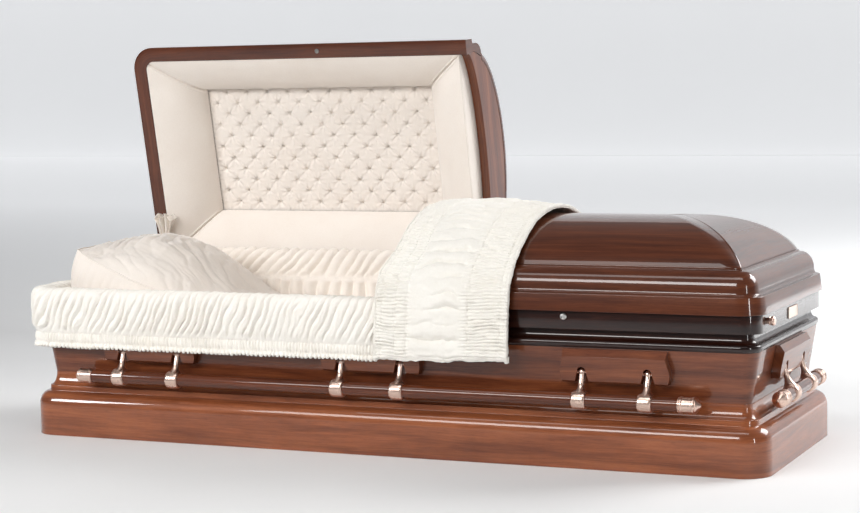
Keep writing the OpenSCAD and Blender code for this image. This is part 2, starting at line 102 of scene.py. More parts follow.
# How far the body's faces stand in from its outline
WALL_IN_FOOT = 50 * MM
WALL_IN_HEAD = BASE_HX - shell_hi[0]
RIM_IN = BASE_HX - rim_hi[0]
INNER_IN = 47 * MM
COVE_IN = 43 * MM
# A lid's rim, the ellipse of its crown and of the crown's end, and its cut end
LID_RIM_W = 43 * MM
BAND_H = 44 * MM
SHOULDER_Z = LID_Z + BAND_H
CROWN_FOOT_Z = crown_lo[2]
CROWN_C = LID_Z + 60 * MM
CROWN_B = crown_hi[2] - CROWN_C
CROWN_A = crown_hi[1] / sqrt(1 - ((CROWN_FOOT_Z - CROWN_C) / CROWN_B) ** 2)
CROWN_END_A = CROWN_A * 0.84
CROWN_END_C = LID_HX - 66 * MM - CROWN_END_A * (LID_HY - 63.5 * MM) / CROWN_A
CROWN_T = 15 * MM
FOOT_X0 = lid_lo[0]
HEAD_X1 = FOOT_X0 - 3 * MM
BOARD_T = 25 * MM
LEAF_T = 2 * MM
# Handles: a plaque every PLAQUE_STEP, with an arm ARM_HALF to each side of its middle
PLAQUE_STEP, ARM_HALF = 672 * MM, 86 * MM
BAR_R, CAP_LEN, COLLAR_R, COLLAR_W = 18 * MM, 57 * MM, 23 * MM, 37 * MM
BAR_Z, PIVOT_Z = 174 * MM, 242 * MM
BAR_IN, PIVOT_IN = 2 * MM, 24 * MM
SIDE_HANDLE, END_HANDLE = 1.8, 0.44

MIRROR_X, MIRROR_Y = Matrix.Diagonal((-1, 1, 1, 1)), Matrix.Diagonal((1, -1, 1, 1))
HEAD_OPEN = radians(78.5)
OPEN_LID = (Matrix.Translation(hinge) @ Matrix.Rotation(-HEAD_OPEN, 4, "X")
            @ Matrix.Translation(-hinge))


# -------------------------------------------------------------- helpers ----

def noise2(x, y, seed=0):
    """Smooth value noise in 0..1 on a unit lattice."""
    x, y = np.broadcast_arrays(np.asarray(x, float), np.asarray(y, float))
    xi, yi = np.floor(x).astype(np.int64), np.floor(y).astype(np.int64)
    fx, fy = x - xi, y - yi
    fx, fy = fx * fx * (3 - 2 * fx), fy * fy * (3 - 2 * fy)

    def lattice(i, j):
        h = (i * 374761393 + j * 668265263 + seed * 974711) & 0x7FFFFFFF
        h = ((h ^ (h >> 13)) * 1274126177) & 0x7FFFFFFF
        return ((h ^ (h >> 16)) & 0xFFFF) / 65535.0

    a, b = lattice(xi, yi), lattice(xi + 1, yi)
    c, d = lattice(xi, yi + 1), lattice(xi + 1, yi + 1)
    return (a * (1 - fx) + b * fx) * (1 - fy) + (c * (1 - fx) + d * fx) * fy


def fbm(x, y, seed=0, octaves=3):
    """Noise of several octaves, about -0.5..0.5."""
    total, size = 0.0, 0.5
    for k in range(octaves):
        total = total + size * (noise2(x * 2 ** k, y * 2 ** k, seed + 17 * k) - 0.5)
        size *= 0.5
    return total


def smooth(t, lo=0.0, hi=1.0):
    """Smooth step from 0 at lo to 1 at hi."""
    t = np.clip((t - lo) / (hi - lo), 0, 1)
    return t * t * (3 - 2 * t)


def bell(t, middle, width):
    """Bell curve of height 1."""
    return np.exp(-((t - middle) / width) ** 2)


def gathers(phase, sharp=0.6):
    """Cloth gathers: a sharp valley at each whole phase and a round top between."""
    return np.abs(np.sin(pi * phase)) ** sharp


def net(u, v):
    """Grids of u and v, with u down the rows and v along them."""
    return np.meshgrid(u, v, indexing="ij")


def run_lengths(line):
    """Length along a line at each of its points."""
    return np.concatenate([[0], np.cumsum(np.linalg.norm(np.diff(line, axis=0), axis=1))])


def resample(points, step):
    """Even points along a polyline rounded by Catmull-Rom, with their arc lengths."""
    p = np.array(points, float)
    ext = np.vstack([2 * p[0] - p[1], p, 2 * p[-1] - p[-2]])
    fine = []
    for i in range(1, len(ext) - 2):
        t = np.linspace(0, 1, 24, endpoint=False)[:, None]
        a, b, c, d = ext[i - 1], ext[i], ext[i + 1], ext[i + 2]
        fine.append(0.5 * (2 * b + (c - a) * t + (2 * a - 5 * b + 4 * c - d) * t ** 2
                           + (3 * b - a - 3 * c + d) * t ** 3))
    fine = np.vstack(fine + [p[-1:]])
    run = run_lengths(fine)
    at = np.linspace(0, run[-1], max(2, int(round(run[-1] / step)) + 1))
    return np.stack([np.interp(at, run, fine[:, k]) for k in range(p.shape[1])], 1), at


def rounded(points, r, closed=False):
    """A polyline with each corner replaced by a small arc of about radius r."""
    p = np.array(points, float)
    out = []
    for i, b in enumerate(p):
        a, c = p[i - 1], p[(i + 1) % len(p)]
        la, lc = np.linalg.norm(a - b), np.linalg.norm(c - b)
        da, dc = (a - b) / la, (c - b) / lc
        bend = pi - np.arccos(np.clip(da @ dc, -1, 1))
        if bend < radians(14) or (not closed and i in (0, len(p) - 1)):
            out.append(b)
            continue
        cut = min(r * np.tan(bend / 2), 0.4 * la, 0.4 * lc)
        s, e = b + da * cut, b + dc * cut
        for t in (0, 1 / 3, 2 / 3, 1):
            out.append((1 - t) ** 2 * s + 2 * t * (1 - t) * b + t ** 2 * e)
    return np.array(out)


def arc(cx, cy, rx, ry, a0, a1, n):
    """Points of an arc from angle a0 to a1, in degrees."""
    t = np.radians(np.linspace(a0, a1, n + 1))
    return [(cx + rx * c, cy + ry * s) for c, s in zip(np.cos(t), np.sin(t))]


def link(name, data):
    """A new object in the scene."""
    ob = bpy.data.objects.new(name, data)
    bpy.context.scene.collection.objects.link(ob)
    return ob


def weld(me, dist):
    """Joins the points of a mesh that meet, and turns its faces outwards."""
    bm = bmesh.new()
    bm.from_mesh(me)
    bmesh.ops.remove_doubles(bm, verts=bm.verts, dist=dist)
    bmesh.ops.recalc_face_normals(bm, faces=bm.faces)
    bm.to_mesh(me)
    bm.free()


def build(name, verts, faces, uv=None, smooth_angle=32, fix=True):
    """A mesh object; uv is one (u, v) in metres for each corner of each face."""
    me = bpy.data.meshes.new(name)
    me.from_pydata(np.asarray(verts, float).tolist(), [], [list(map(int, f)) for f in faces])
    if uv is not None:
        layer = me.uv_layers.new(name="grain")
        layer.data.foreach_set("uv", np.asarray(uv, np.float32).ravel())
    if fix:
        weld(me, 1e-6)
    me.polygons.foreach_set("use_smooth", [True] * len(me.polygons))
    if smooth_angle < 180:
        me.set_sharp_from_angle(angle=radians(smooth_angle))
    return link(name, me)


def grid_faces(nu, nv, wrap_u=False, wrap_v=False):
    """Quads of a grid whose point (i, j) has the index i * nv + j."""
    i = np.arange(nu if wrap_u else nu - 1)
    j = np.arange(nv if wrap_v else nv - 1)
    i, j = [k.ravel() for k in net(i, j)]
    a, b = i, (i + 1) % nu
    c, d = j, (j + 1) % nv
    return np.stack([a * nv + c, b * nv + c, b * nv + d, a * nv + d], 1), i, j


def quad_uv(u, v, i, j):
    """The (u, v) of the four corners of each quad (i, j)."""
    around = ((i, j), (i + 1, j), (i + 1, j + 1), (i, j + 1))
    return np.stack([np.stack([u[a], v[b]], 1) for a, b in around], 1)


def grid(name, p, u, v, wrap_u=False, wrap_v=False, **kw):
    """A sheet or ring from points p[i, j], with uv lengths u[i] and v[j]."""
    faces, i, j = grid_faces(*p.shape[:2], wrap_u, wrap_v)
    u = np.append(u, u[-1] + (u[-1] - u[-2]))
    v = np.append(v, v[-1] + (v[-1] - v[-2]))
    return build(name, p.reshape(-1, 3), faces, quad_uv(u, v, i, j), **kw)


def smooth_grid(name, p, u, v, wrap_u=False):
    """A grid that is smooth all over, with its points kept as they are."""
    return grid(name, p, u, v, wrap_u, smooth_angle=180, fix=False)


def prism_faces(n):
    """Faces of a prism: its two ends of n corners, then its sides."""
    sides = [[k, (k + 1) % n, n + (k + 1) % n, n + k] for k in range(n)]
    return [list(range(n)), list(range(2 * n - 1, n - 1, -1)), *sides]


def lathe(name, profile, n=48):
    """Profile of (radius, distance) turned about +X."""
    profile = np.array(profile)
    a = np.linspace(0, 2 * pi, n, endpoint=False)
    p = np.zeros((n, len(profile), 3))
    p[:, :, 0] = profile[None, :, 1]
    p[:, :, 1] = profile[None, :, 0] * np.cos(a)[:, None]
    p[:, :, 2] = profile[None, :, 0] * np.sin(a)[:, None]
    return grid(name, p, a * 0.02, run_lengths(profile), wrap_u=True, smooth_angle=40)


def slab(name, lo, hi, ease):
    """A plain plate with eased edges."""
    x, y, z = zip(lo, hi)
    verts = [(a, b, c) for a in x for b in y for c in z]
    faces = [[0, 1, 3, 2], [4, 6, 7, 5], [0, 4, 5, 1], [2, 3, 7, 6], [0, 2, 6, 4], [1, 5, 7, 3]]
    uv = [(verts[v][0] + verts[v][1], verts[v][2] + verts[v][1]) for f in faces for v in f]
    return soften(build(name, verts, faces, uv), ease)


def join(name, parts):
    """One object made of several, keeping their materials."""
    with bpy.context.temp_override(active_object=parts[0], selected_editable_objects=parts):
        bpy.ops.object.join()
    parts[0].name = name
    return parts[0]


def turned(ob, *moves):
    """Carries a mesh through each matrix; a mirrored one gets its faces turned right again."""
    for matrix in moves:
        ob.data.transform(matrix)
        if matrix.determinant() < 0:
            ob.data.flip_normals()
    return ob


def moved(ob, x=0, y=0, z=0):
    return turned(ob, Matrix.Translation((x, y, z)))


def thicken(ob, thick, offset):
    mod = ob.modifiers.new("thickness", "SOLIDIFY")
    mod.thickness, mod.offset = thick, offset
    return ob


def soften(ob, width):
    """Eased edges."""
    mod = ob.modifiers.new("ease", "BEVEL")
    mod.width, mod.segments = width, 2
    mod.limit_method, mod.angle_limit = "ANGLE", radians(34)
    return ob


def place(ob, body, material, slot, *nodes):
    """Gives a finished piece its material and body, and hides the CAD nodes it stands for; slot is
    not used.
    """
    ob.data.materials.clear()
    ob.data.materials.append(material)
    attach(ob, body)
    if nodes:
        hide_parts(*nodes)
    return ob


# ------------------------------------------------------------ materials ----

class Nodes:
    """A short way to write a node tree."""

    def __init__(self, name):
        self.mat = bpy.data.materials.new(name)
        self.mat.use_nodes = True
        self.tree = self.mat.node_tree
        self.bsdf = self.tree.nodes["Principled BSDF"]

    def add(self, kind, inputs=None, **values):
        n = self.tree.nodes.new(kind)
        for key, value in values.items():
            setattr(n, key, value)
        for key, value in (inputs or {}).items():
            self.put(n, key, value)
        return n

    def put(self, node, key, value):
        socket = node.inputs[key]
        if isinstance(value, bpy.types.NodeSocket):
            self.tree.links.new(value, socket)
        else:
            socket.default_value = value

    def surface(self, inputs):
        """Sets the shader's inputs and gives the finished material."""
        for key, value in inputs.items():
            self.put(self.bsdf, key, value)
        return self.mat

    def at(self):
        return self.add("ShaderNodeTexCoord").outputs["Object"]

    def math(self, op, a, b=0.0, clamp=False):
        return self.add("ShaderNodeMath", {0: a, 1: b, 2: 0.0}, operation=op,
                        use_clamp=clamp).outputs[0]

    def mix(self, fac, a, b, mode="MIX"):
        return self.add("ShaderNodeMix", {0: fac, 6: a, 7: b}, data_type="RGBA",
                        blend_type=mode).outputs[2]

    def noise(self, vector, scale, detail=3.0, rough=0.55, distort=0.0):
        return self.add("ShaderNodeTexNoise", {
            "Vector": vector, "Scale": scale, "Detail": detail, "Roughness": rough,
            "Distortion": distort}).outputs["Fac"]

    def ramp(self, fac, low, high, *more):
        """Colours at places along a fac, each given as (place, colour)."""
        n = self.add("ShaderNodeValToRGB", {"Fac": fac})
        for _ in more:
            n.color_ramp.elements.new(0.5)
        for e, (at, colour) in zip(n.color_ramp.elements, (low, high, *more)):
            e.position, e.color = at, (*colour, 1)
        return n.outputs["Color"]

    def scaled(self, vector, size):
        return self.add("ShaderNodeMapping", {"Vector": vector, "Scale": size}).outputs[0]

    def bump(self, height, distance, strength, **more):
        return self.add("ShaderNodeBump", {"Height": height, "Distance": distance,
                                           "Strength": strength, **more}).outputs[0]


WHITE = (1.0, 1.0, 1.0)


def wood(name, dark, mid, light, figure=1.0):
    """High-gloss lacquered mahogany; the grain runs along the uv's u."""
    m = Nodes(name)
    uv = m.add("ShaderNodeUVMap", uv_map="grain").outputs[0]
    warp = m.noise(m.scaled(uv, (1.3, 6.0, 1)), 1.0, 3, 0.5)
    bend = m.add("ShaderNodeVectorMath", {0: uv}, operation="ADD")
    shift = m.add("ShaderNodeCombineXYZ", {"Y": m.math("MULTIPLY", warp, 0.05)})
    m.put(bend, 1, shift.outputs[0])
    bent = bend.outputs[0]
    bands = m.noise(m.scaled(bent, (1.2, 19, 1)), 1.5, 6, 0.62, 0.5)
    streaks = m.noise(m.scaled(bent, (7, 210, 1)), 1.0, 4, 0.65, 0.3)
    pores = m.noise(m.scaled(bent, (38, 1300, 1)), 1.0, 2, 0.5)
    blotch = m.noise(m.scaled(uv, (2.2, 5.0, 1)), 1.6, 4, 0.6, 0.6)
    tone = m.math("ADD", m.math("MULTIPLY", bands, 0.66 * figure),
                  m.math("MULTIPLY", streaks, 0.34))
    colour = m.ramp(tone, (0.3, dark), (0.5, mid), (0.72, light))
    shade = m.ramp(blotch, (0.25, (0.62, 0.56, 0.54)), (0.75, WHITE))
    colour = m.mix(0.85, colour, shade, "MULTIPLY")
    pore = m.ramp(pores, (0.3, (0.45, 0.38, 0.36)), (0.42, WHITE))
    return m.surface({
        "Base Color": m.mix(0.6, colour, pore, "MULTIPLY"),
        "Roughness": m.math("ADD", 0.3, m.math("MULTIPLY", streaks, 0.16)),
        "Normal": m.bump(pores, 0.00006, 0.5),
        "Coat Weight": 1.0, "Coat Roughness": 0.035, "Coat IOR": 1.48,
        "Specular IOR Level": 0.12,
        "Coat Normal": m.bump(m.noise(m.at(), 26, 2, 0.5), 0.00022, 0.6)})


def metal(name, colour, tint, rough=0.24, brushed=90.0, axis=(1, 1, 1)):
    """Plated metal with soft brush marks and slight tarnish in patches."""
    m = Nodes(name)
    at = m.at()
    lines = m.noise(m.scaled(at, axis), brushed, 4, 0.7)
    patch = m.noise(at, 22, 3, 0.6, 0.4)
    return m.surface({
        "Base Color": m.mix(patch, (*colour, 1), (*tint, 1)),
        "Metallic": 1.0,
        "Roughness": m.math("ADD", rough - 0.06, m.math(
            "ADD", m.math("MULTIPLY", lines, 0.14), m.math("MULTIPLY", patch, 0.08))),
        "Normal": m.bump(lines, 0.00004, 0.5)})


def fabric(name, colour, shade, weave=900.0, crepe=160.0, depth=0.00035, sheen=0.35):
    """Cream cloth: weave and crepe in the bump, painted shade in the crepe's hollows, a little colour
    drift, soft sheen.
    """
    m = Nodes(name)
    at = m.at()
    drift = m.noise(at, 7, 3, 0.6)
    fine = m.noise(at, crepe, 3, 0.65)
    threads = m.noise(m.scaled(at, (1, 1, 1.6)), weave, 2, 0.5)
    tone = m.mix(m.ramp(drift, (0.3, (0, 0, 0)), (0.75, WHITE)), (*colour, 1), (*shade, 1))
    # Painted shade: the colour darkens where the crepe bump is low
    hollow_shade = m.ramp(fine, (0.3, (0.93, 0.91, 0.88)), (0.6, WHITE))
    return m.surface({
        "Base Color": m.mix(0.35, tone, hollow_shade, "MULTIPLY"),
        "Roughness": m.math("ADD", 0.78, m.math("MULTIPLY", fine, 0.2)),
        "Sheen Weight": sheen, "Sheen Roughness": 0.45, "Specular IOR Level": 0.25,
        "Normal": m.bump(threads, 0.00012, 0.5, Normal=m.bump(fine, depth, 0.7))})


mahogany = wood("mahogany_gloss", (0.06, 0.015, 0.007), (0.18, 0.05, 0.019),
                (0.34, 0.105, 0.037))
# Lighter copy of the mahogany for the base moulding: painted light
lit_base_mahogany = wood("mahogany_base_painted_light", (0.12, 0.031, 0.012), (0.29, 0.086, 0.032),
                     (0.45, 0.15, 0.056))
# Darker copy of the mahogany for the recessed rim band and the top moulding: painted shade
shaded_mahogany = wood("mahogany_painted_shade", (0.008, 0.002, 0.0016), (0.022, 0.0056, 0.0034),
                     (0.075, 0.022, 0.01), 0.9)
# Darker copy of the mahogany for the lids' rims and crowns: painted shade
shaded_lid_mahogany = wood("mahogany_lid_painted_shade", (0.042, 0.0105, 0.005), (0.112, 0.03, 0.0115),
                    (0.2, 0.058, 0.021))
bar_wood = wood("mahogany_bar", (0.04, 0.009, 0.004), (0.15, 0.037, 0.012),
                (0.3, 0.088, 0.028), 0.9)
copper = metal("brushed_copper", (0.86, 0.66, 0.56), (0.66, 0.46, 0.38))
nickel = metal("satin_nickel", (0.72, 0.71, 0.69), (0.5, 0.49, 0.48), 0.28, 140)
# A darker copy of the satin nickel, for the latch strike
dark_nickel = metal("darker_nickel", (0.42, 0.4, 0.38), (0.26, 0.25, 0.24), 0.3, 140)
hinge_metal = metal("hinge_metal", (0.5, 0.46, 0.42), (0.33, 0.29, 0.26), 0.32, 60, (1, 14, 14))
brass = metal("engraving_plate", (0.8, 0.74, 0.66), (0.62, 0.55, 0.47), 0.34, 220, (1, 6, 1))
crepe = fabric("cream_crepe", (0.915, 0.885, 0.825), (0.89, 0.845, 0.775))
crepe_throw = fabric("cream_crepe_throw", (0.865, 0.84, 0.785), (0.84, 0.805, 0.74),
                     700, 210, 0.0005)
velvet = fabric("cream_velvet", (0.865, 0.8, 0.735), (0.83, 0.755, 0.685),
                1100, 240, 0.0002, 0.6)
lining_cloth = fabric("cream_lining", (0.89, 0.825, 0.755), (0.86, 0.785, 0.71),
                      800, 200, 0.0003, 0.45)


# -------------------------------------------------------- wood mouldings ----

def outline(hx, hy, r, long_step=0.05, corner_n=14):
    """Points, outward normals and run of a rounded rectangle, from the rear's middle."""
    pts, nrm, run = [], [], []
    # Each side's start, direction and length, then the corner that follows it
    sides = [((0, hy), (-1, 0), hx - r), ((-hx, hy - r), (0, -1), 2 * (hy - r)),
             ((-hx + r, -hy), (1, 0), 2 * (hx - r)), ((hx, -hy + r), (0, 1), 2 * (hy - r)),
             ((hx - r, hy), (-1, 0), hx - r)]
    centres = [(-hx + r, hy - r), (-hx + r, -hy + r), (hx - r, -hy + r), (hx - r, hy - r)]
    at = 0.0
    for k, (p0, d, length) in enumerate(sides):
        for t in np.linspace(0, length, max(2, int(length / long_step)), endpoint=k == 4):
            pts.append((p0[0] + d[0] * t, p0[1] + d[1] * t))
            nrm.append((d[1], -d[0]))
            run.append(at + t)
        at += length
        if k < 4:
            cx, cy = centres[k]
            for t in np.linspace(0, 90, corner_n, endpoint=False):
                a = radians((90, 180, 270, 0)[k] + t)
                pts.append((cx + r * cos(a), cy + r * sin(a)))
                nrm.append((cos(a), sin(a)))
                run.append(at + r * radians(t))
            at += r * pi / 2
    return np.array(pts[:-1]), np.array(nrm[:-1]), np.array(run[:-1])


def swept(pts, nrm, section):
    """Points of a section [outside the line, height] carried along a line in plan."""
    p = np.zeros((len(pts), len(section), 3))
    p[:, :, :2] = pts[:, None] + nrm[:, None] * section[None, :, 0, None]
    p[:, :, 2] = section[None, :, 1]
    return p


def swept_ring(name, section, ease=None):
    """A closed section swept all round the body's outline, with its corners eased."""
    section = np.array(section) if ease is None else rounded(section, ease, closed=True)
    pts, nrm, run = outline(BASE_HX, BASE_HY, BASE_R)
    return grid(name, swept(pts, nrm, section), run, run_lengths(section),
                wrap_u=True, wrap_v=True)


def swept_u(name, section, x0):
    """A closed section swept round a lid from x0 by the +X end back to x0, with flat ends."""
    pts, nrm, _ = outline(LID_HX, LID_HY, LID_R)
    part = np.where(pts[:, 0] > x0 + 0.01)[0]
    # The outline starts at the rear's middle: a lid that reaches past it wraps round the start
    gap = np.where(np.diff(part) > 1)[0]
    if len(gap):
        part = np.roll(part, -gap[0] - 1)
    pts = np.vstack([(x0, -LID_HY), pts[part], (x0, LID_HY)])
    nrm = nrm[part]
    p = swept(pts, np.vstack([nrm[:1], nrm, nrm[-1:]]), section)
    nu, nv = p.shape[:2]
    faces, i, j = grid_faces(nu, nv, wrap_v=True)
    v = run_lengths(section)
    uv = quad_uv(run_lengths(pts), np.append(v, v[-1] + 0.02), i, j).reshape(-1, 2).tolist()
    faces = faces.tolist()
    for start in (0, (nu - 1) * nv):
        faces.append([start + k for k in range(nv)])
        uv += section[:, ::-1].tolist()
    return build(name, p.reshape(-1, 3), faces, uv)


def wall_in(z):
    """Setback of the flared walls at height z."""
    t = (z - shell_lo[2]) / (shell_hi[2] - shell_lo[2])
    return WALL_IN_FOOT + (WALL_IN_HEAD - WALL_IN_FOOT) * t


def body_wood():
    """The base moulding, the wall, the top moulding and the rim band."""
    base_h, band = base_hi[2], 84 * MM
    ovolo, fillet, step_in = 38 * MM, 15 * MM, 31 * MM
    cove_z = band + ovolo + fillet
    base = ([(-0.07, 0.0), (0.0, 0.0), (0.0, band - 0.001)]
            + arc(-step_in, band, step_in, ovolo, 0, 90, 14)
            + arc(-step_in - 0.001, base_h - 0.003, -(WALL_IN_FOOT - step_in - 0.001),
                  -(base_h - 0.003 - cove_z), 90, 0, 12)
            + [(-WALL_IN_FOOT, base_h), (-0.07, base_h)])
    wall = [(-WALL_IN_FOOT - 0.019, shell_lo[2]), (-WALL_IN_FOOT, shell_lo[2]),
            (-WALL_IN_HEAD, shell_hi[2]), (-INNER_IN, shell_hi[2])]
    z0, z1 = top_lo[2], top_hi[2]
    top = ([(-INNER_IN, z0), (-WALL_IN_HEAD, z0)]
           + arc(-WALL_IN_HEAD, z0 + 0.01, 0.004, 0.008, -90, 90, 12)
           + [(-WALL_IN_HEAD - 0.001, z0 + 0.0185)]
           + arc(-WALL_IN_HEAD, z0 + 0.036, -(COVE_IN - WALL_IN_HEAD), -0.017, 90, 0, 10)
           + [(-COVE_IN, z1), (-INNER_IN, z1)])
    rim = [(-INNER_IN, rim_lo[2]), (-RIM_IN, rim_lo[2]), (-RIM_IN, rim_hi[2]),
           (-INNER_IN, rim_hi[2])]
    # The top moulding and the rim band take the darker copy of the mahogany (painted shade), the base
    # moulding the lighter copy (painted light)
    for name, section, ease, material, node in (
            ("base_moulding_wood", base, 0.0018, lit_base_mahogany, "base_moulding"),
            ("body_wall_wood", wall, None, mahogany, "body_shell"),
            ("top_moulding_wood", top, 0.0012, shaded_mahogany, "top_moulding"),
            ("rim_band_wood", rim, 0.002, shaded_mahogany, "rim_band")):
        place(swept_ring(name, section, ease), "body", material, "wood", node)


def lid_section():
    """Section of a lid's rim: band, ledge and ogee shoulder, outside the lids' outline."""
    sh, foot = SHOULDER_Z, CROWN_FOOT_Z
    return rounded(
        [(-LID_RIM_W, LID_Z), (0, LID_Z), (-0.006, sh), (-0.015, sh + 0.002)]
        + arc(-0.015, sh + 0.014, -0.006, -0.012, 90, 0, 6)[1:]
        + arc(-0.057, sh + 0.014, 0.036, foot - LID_Z - BAND_H - 0.018, 12, 84, 14)
        + [(-0.061, foot - 0.003), (-0.061, foot), (-0.069, foot), (-LID_RIM_W, sh + 0.008)],
        0.0018, closed=True)


def crown_wood(name, x0):
    """Hipped crown: two side vaults and an end vault meeting at mitred hips."""
    n = 40
    top = np.arccos(np.clip((CROWN_FOOT_Z - CROWN_C) / CROWN_B, -1, 1))
    phi = np.linspace(-top, top, 2 * n + 1)
    hip = CROWN_END_C + CROWN_END_A * np.abs(np.sin(phi))
    s = np.linspace(0, 1, 21)
    side = np.zeros((len(s), len(phi), 3))
    side[:, :, 0] = x0 + s[:, None] * (hip - x0)[None]
    side[:, :, 1], side[:, :, 2] = CROWN_A * np.sin(phi), CROWN_C + CROWN_B * np.cos(phi)
    t = np.linspace(-1, 1, 31)
    phi = phi[n:]
    end = np.zeros((len(phi), len(t), 3))
    end[:, :, 0] = (CROWN_END_C + CROWN_END_A * np.sin(phi))[:, None]
    end[:, :, 1] = CROWN_A * np.sin(phi)[:, None] * t[None]
    end[:, :, 2] = (CROWN_C + CROWN_B * np.cos(phi))[:, None]
    run = CROWN_A * (np.linspace(-top, top, 2 * n + 1) + top)
    a = smooth_grid(name, side, s * (CROWN_END_C - x0), run)
    b = smooth_grid(name + "_end", end, CROWN_END_A * phi, t)
    # The grain of the end vault runs across, along its own width
    co = [b.data.vertices[lp.vertex_index].co for lp in b.data.loops]
    flat = [k for p in co for k in (p.y, 1.3 * (p.x - CROWN_END_C))]
    b.data.uv_layers["grain"].data.foreach_set("uv", flat)
    return thicken(join(name, [a, b]), -CROWN_T, 1.0)


def board(name, x0):
    """Arched board at a lid's cut end, with a rounded lower edge."""
    half, ledge, foot = LID_HY - LID_RIM_W - 0.0003, LID_HY - 0.0703, CROWN_FOOT_Z
    a, b = CROWN_A - CROWN_T - 0.0003, CROWN_B - CROWN_T - 0.0003
    top = [(a * sin(t), CROWN_C + b * cos(t)) for t in np.linspace(-1.24, 1.24, 61)]
    top = [p for p in top if p[1] > foot]
    rise, span = 0.077, LID_HY - LID_RIM_W + 0.004
    low = [(y, LID_Z + 0.001 + rise * sqrt(1 - (y / span) ** 2))
           for y in np.linspace(half, -half, 61)]
    edge = top[0][0] * -1 + 0.001
    right = [(edge, foot - 0.001), (ledge, foot - 0.001), (half, SHOULDER_Z + 0.007)]
    ring = [(-y, z) for y, z in right[::-1]] + top + right + low
    verts = [(x, y, z) for x in (x0, x0 + BOARD_T) for y, z in ring]
    uv = [*ring, *ring[::-1]]
    run = run_lengths(np.array(ring + ring[:1]))
    for s, e in zip(run, run[1:]):
        uv += [(s, 0), (e, 0), (e, BOARD_T), (s, BOARD_T)]
    return soften(build(name, verts, prism_faces(len(ring)), uv), 0.0014)


def lid_wood():
    """Each lid's rim, crown and end board; the head lid is the foot lid's mirror image, open."""
    for lid, x0, moves in (("foot_lid", FOOT_X0, ()), ("head_lid", -HEAD_X1, (MIRROR_X, OPEN_LID))):
        rim = swept_u(lid + "_rim_wood", lid_section(), x0)
        crown = crown_wood(lid + "_crown_wood", x0)
        end = board(lid + "_board_wood", x0)
        # The rims and crowns take the lids' darker copy of the mahogany, painted shade
        place(turned(rim, *moves), lid, shaded_lid_mahogany, "wood", lid + "_rim")
        place(turned(crown, *moves), lid, shaded_lid_mahogany, "wood", lid + "_crown")
        place(turned(end, *moves), lid, mahogany, "wood", lid + "_board")


# --------------------------------------------------------------- plaques ----

def plaque(node, *moves):
    """Scroll-cut board with two arched notches, made centred on the +Y side's x = 0."""
    half, z0, z1 = 0.142, 0.216, 0.3
    foot_w, notch_r, notch_z = 0.019, 0.011, 0.256
    thick, bevel_h, bevel_in, foot_h, foot_in = 0.024, 0.018, 0.014, 0.004, 0.003
    right = [(half - 0.003 + 0.004 * sin(2 * pi * (s - 0.05)), z0 + (z1 - z0) * s)
             for s in np.linspace(0, 1, 33)]
    notch = [(-foot_w, z0), (-notch_r - 0.001, notch_z - notch_r - 0.004),
             *arc(0, notch_z - notch_r, notch_r, notch_r, 180, 0, 16),
             (notch_r + 0.001, notch_z - notch_r - 0.004), (foot_w, z0)]
    ring = right + [(-x, z) for x, z in right[::-1]]
    ring += [(c + x, z) for c in (-ARM_HALF, ARM_HALF) for x, z in notch]
    bm = bmesh.new()
    made = [bm.verts.new((x, y, z)) for y in (0, 1) for x, z in ring]
    for face in prism_faces(len(ring)):
        bm.faces.new([made[k] for k in face])
    for z in (z1 - bevel_h, z0 + foot_h):
        bmesh.ops.bisect_plane(bm, geom=bm.verts[:] + bm.edges[:] + bm.faces[:],
                               plane_co=(0, 0, z), plane_no=(0, 0, 1), dist=1e-7)
    for v in bm.verts:
        z = v.co.z
        out = (thick - bevel_in * max(0, (z - z1) / bevel_h + 1)
               - foot_in * max(0, (z0 - z) / foot_h + 1))
        v.co.y = BASE_HY - wall_in(z) + (out if v.co.y > 0.5 else 0.00005)
    bmesh.ops.recalc_face_normals(bm, faces=bm.faces)
    me = bpy.data.meshes.new(node + "_wood")
    bm.to_mesh(me)
    bm.free()
    layer = me.uv_layers.new(name="grain")
    co = [me.vertices[lp.vertex_index].co for lp in me.loops]
    layer.data.foreach_set("uv", [c for p in co for c in (p.x, p.z + p.y)])
    me.polygons.foreach_set("use_smooth", [True] * len(me.polygons))
    me.set_sharp_from_angle(angle=radians(30))
    ob = soften(link(node + "_wood", me), 0.0012)
    place(turned(ob, *moves), "body", mahogany, "wood", node)


def plaques():
    """Three plaques on each long side and one at the foot."""
    for i in (1, 2, 3):
        along = Matrix.Translation(((i - 2) * PLAQUE_STEP, 0, 0))
        plaque(f"plaque_rear_{i}", along)
        plaque(f"plaque_front_{i}", along, MIRROR_Y)
    plaque("plaque_foot", Matrix.Rotation(-pi / 2, 4, "Z"),
           Matrix.Translation((BASE_HX - BASE_HY, 0, 0)))


# --------------------------------------------------------------- handles ----

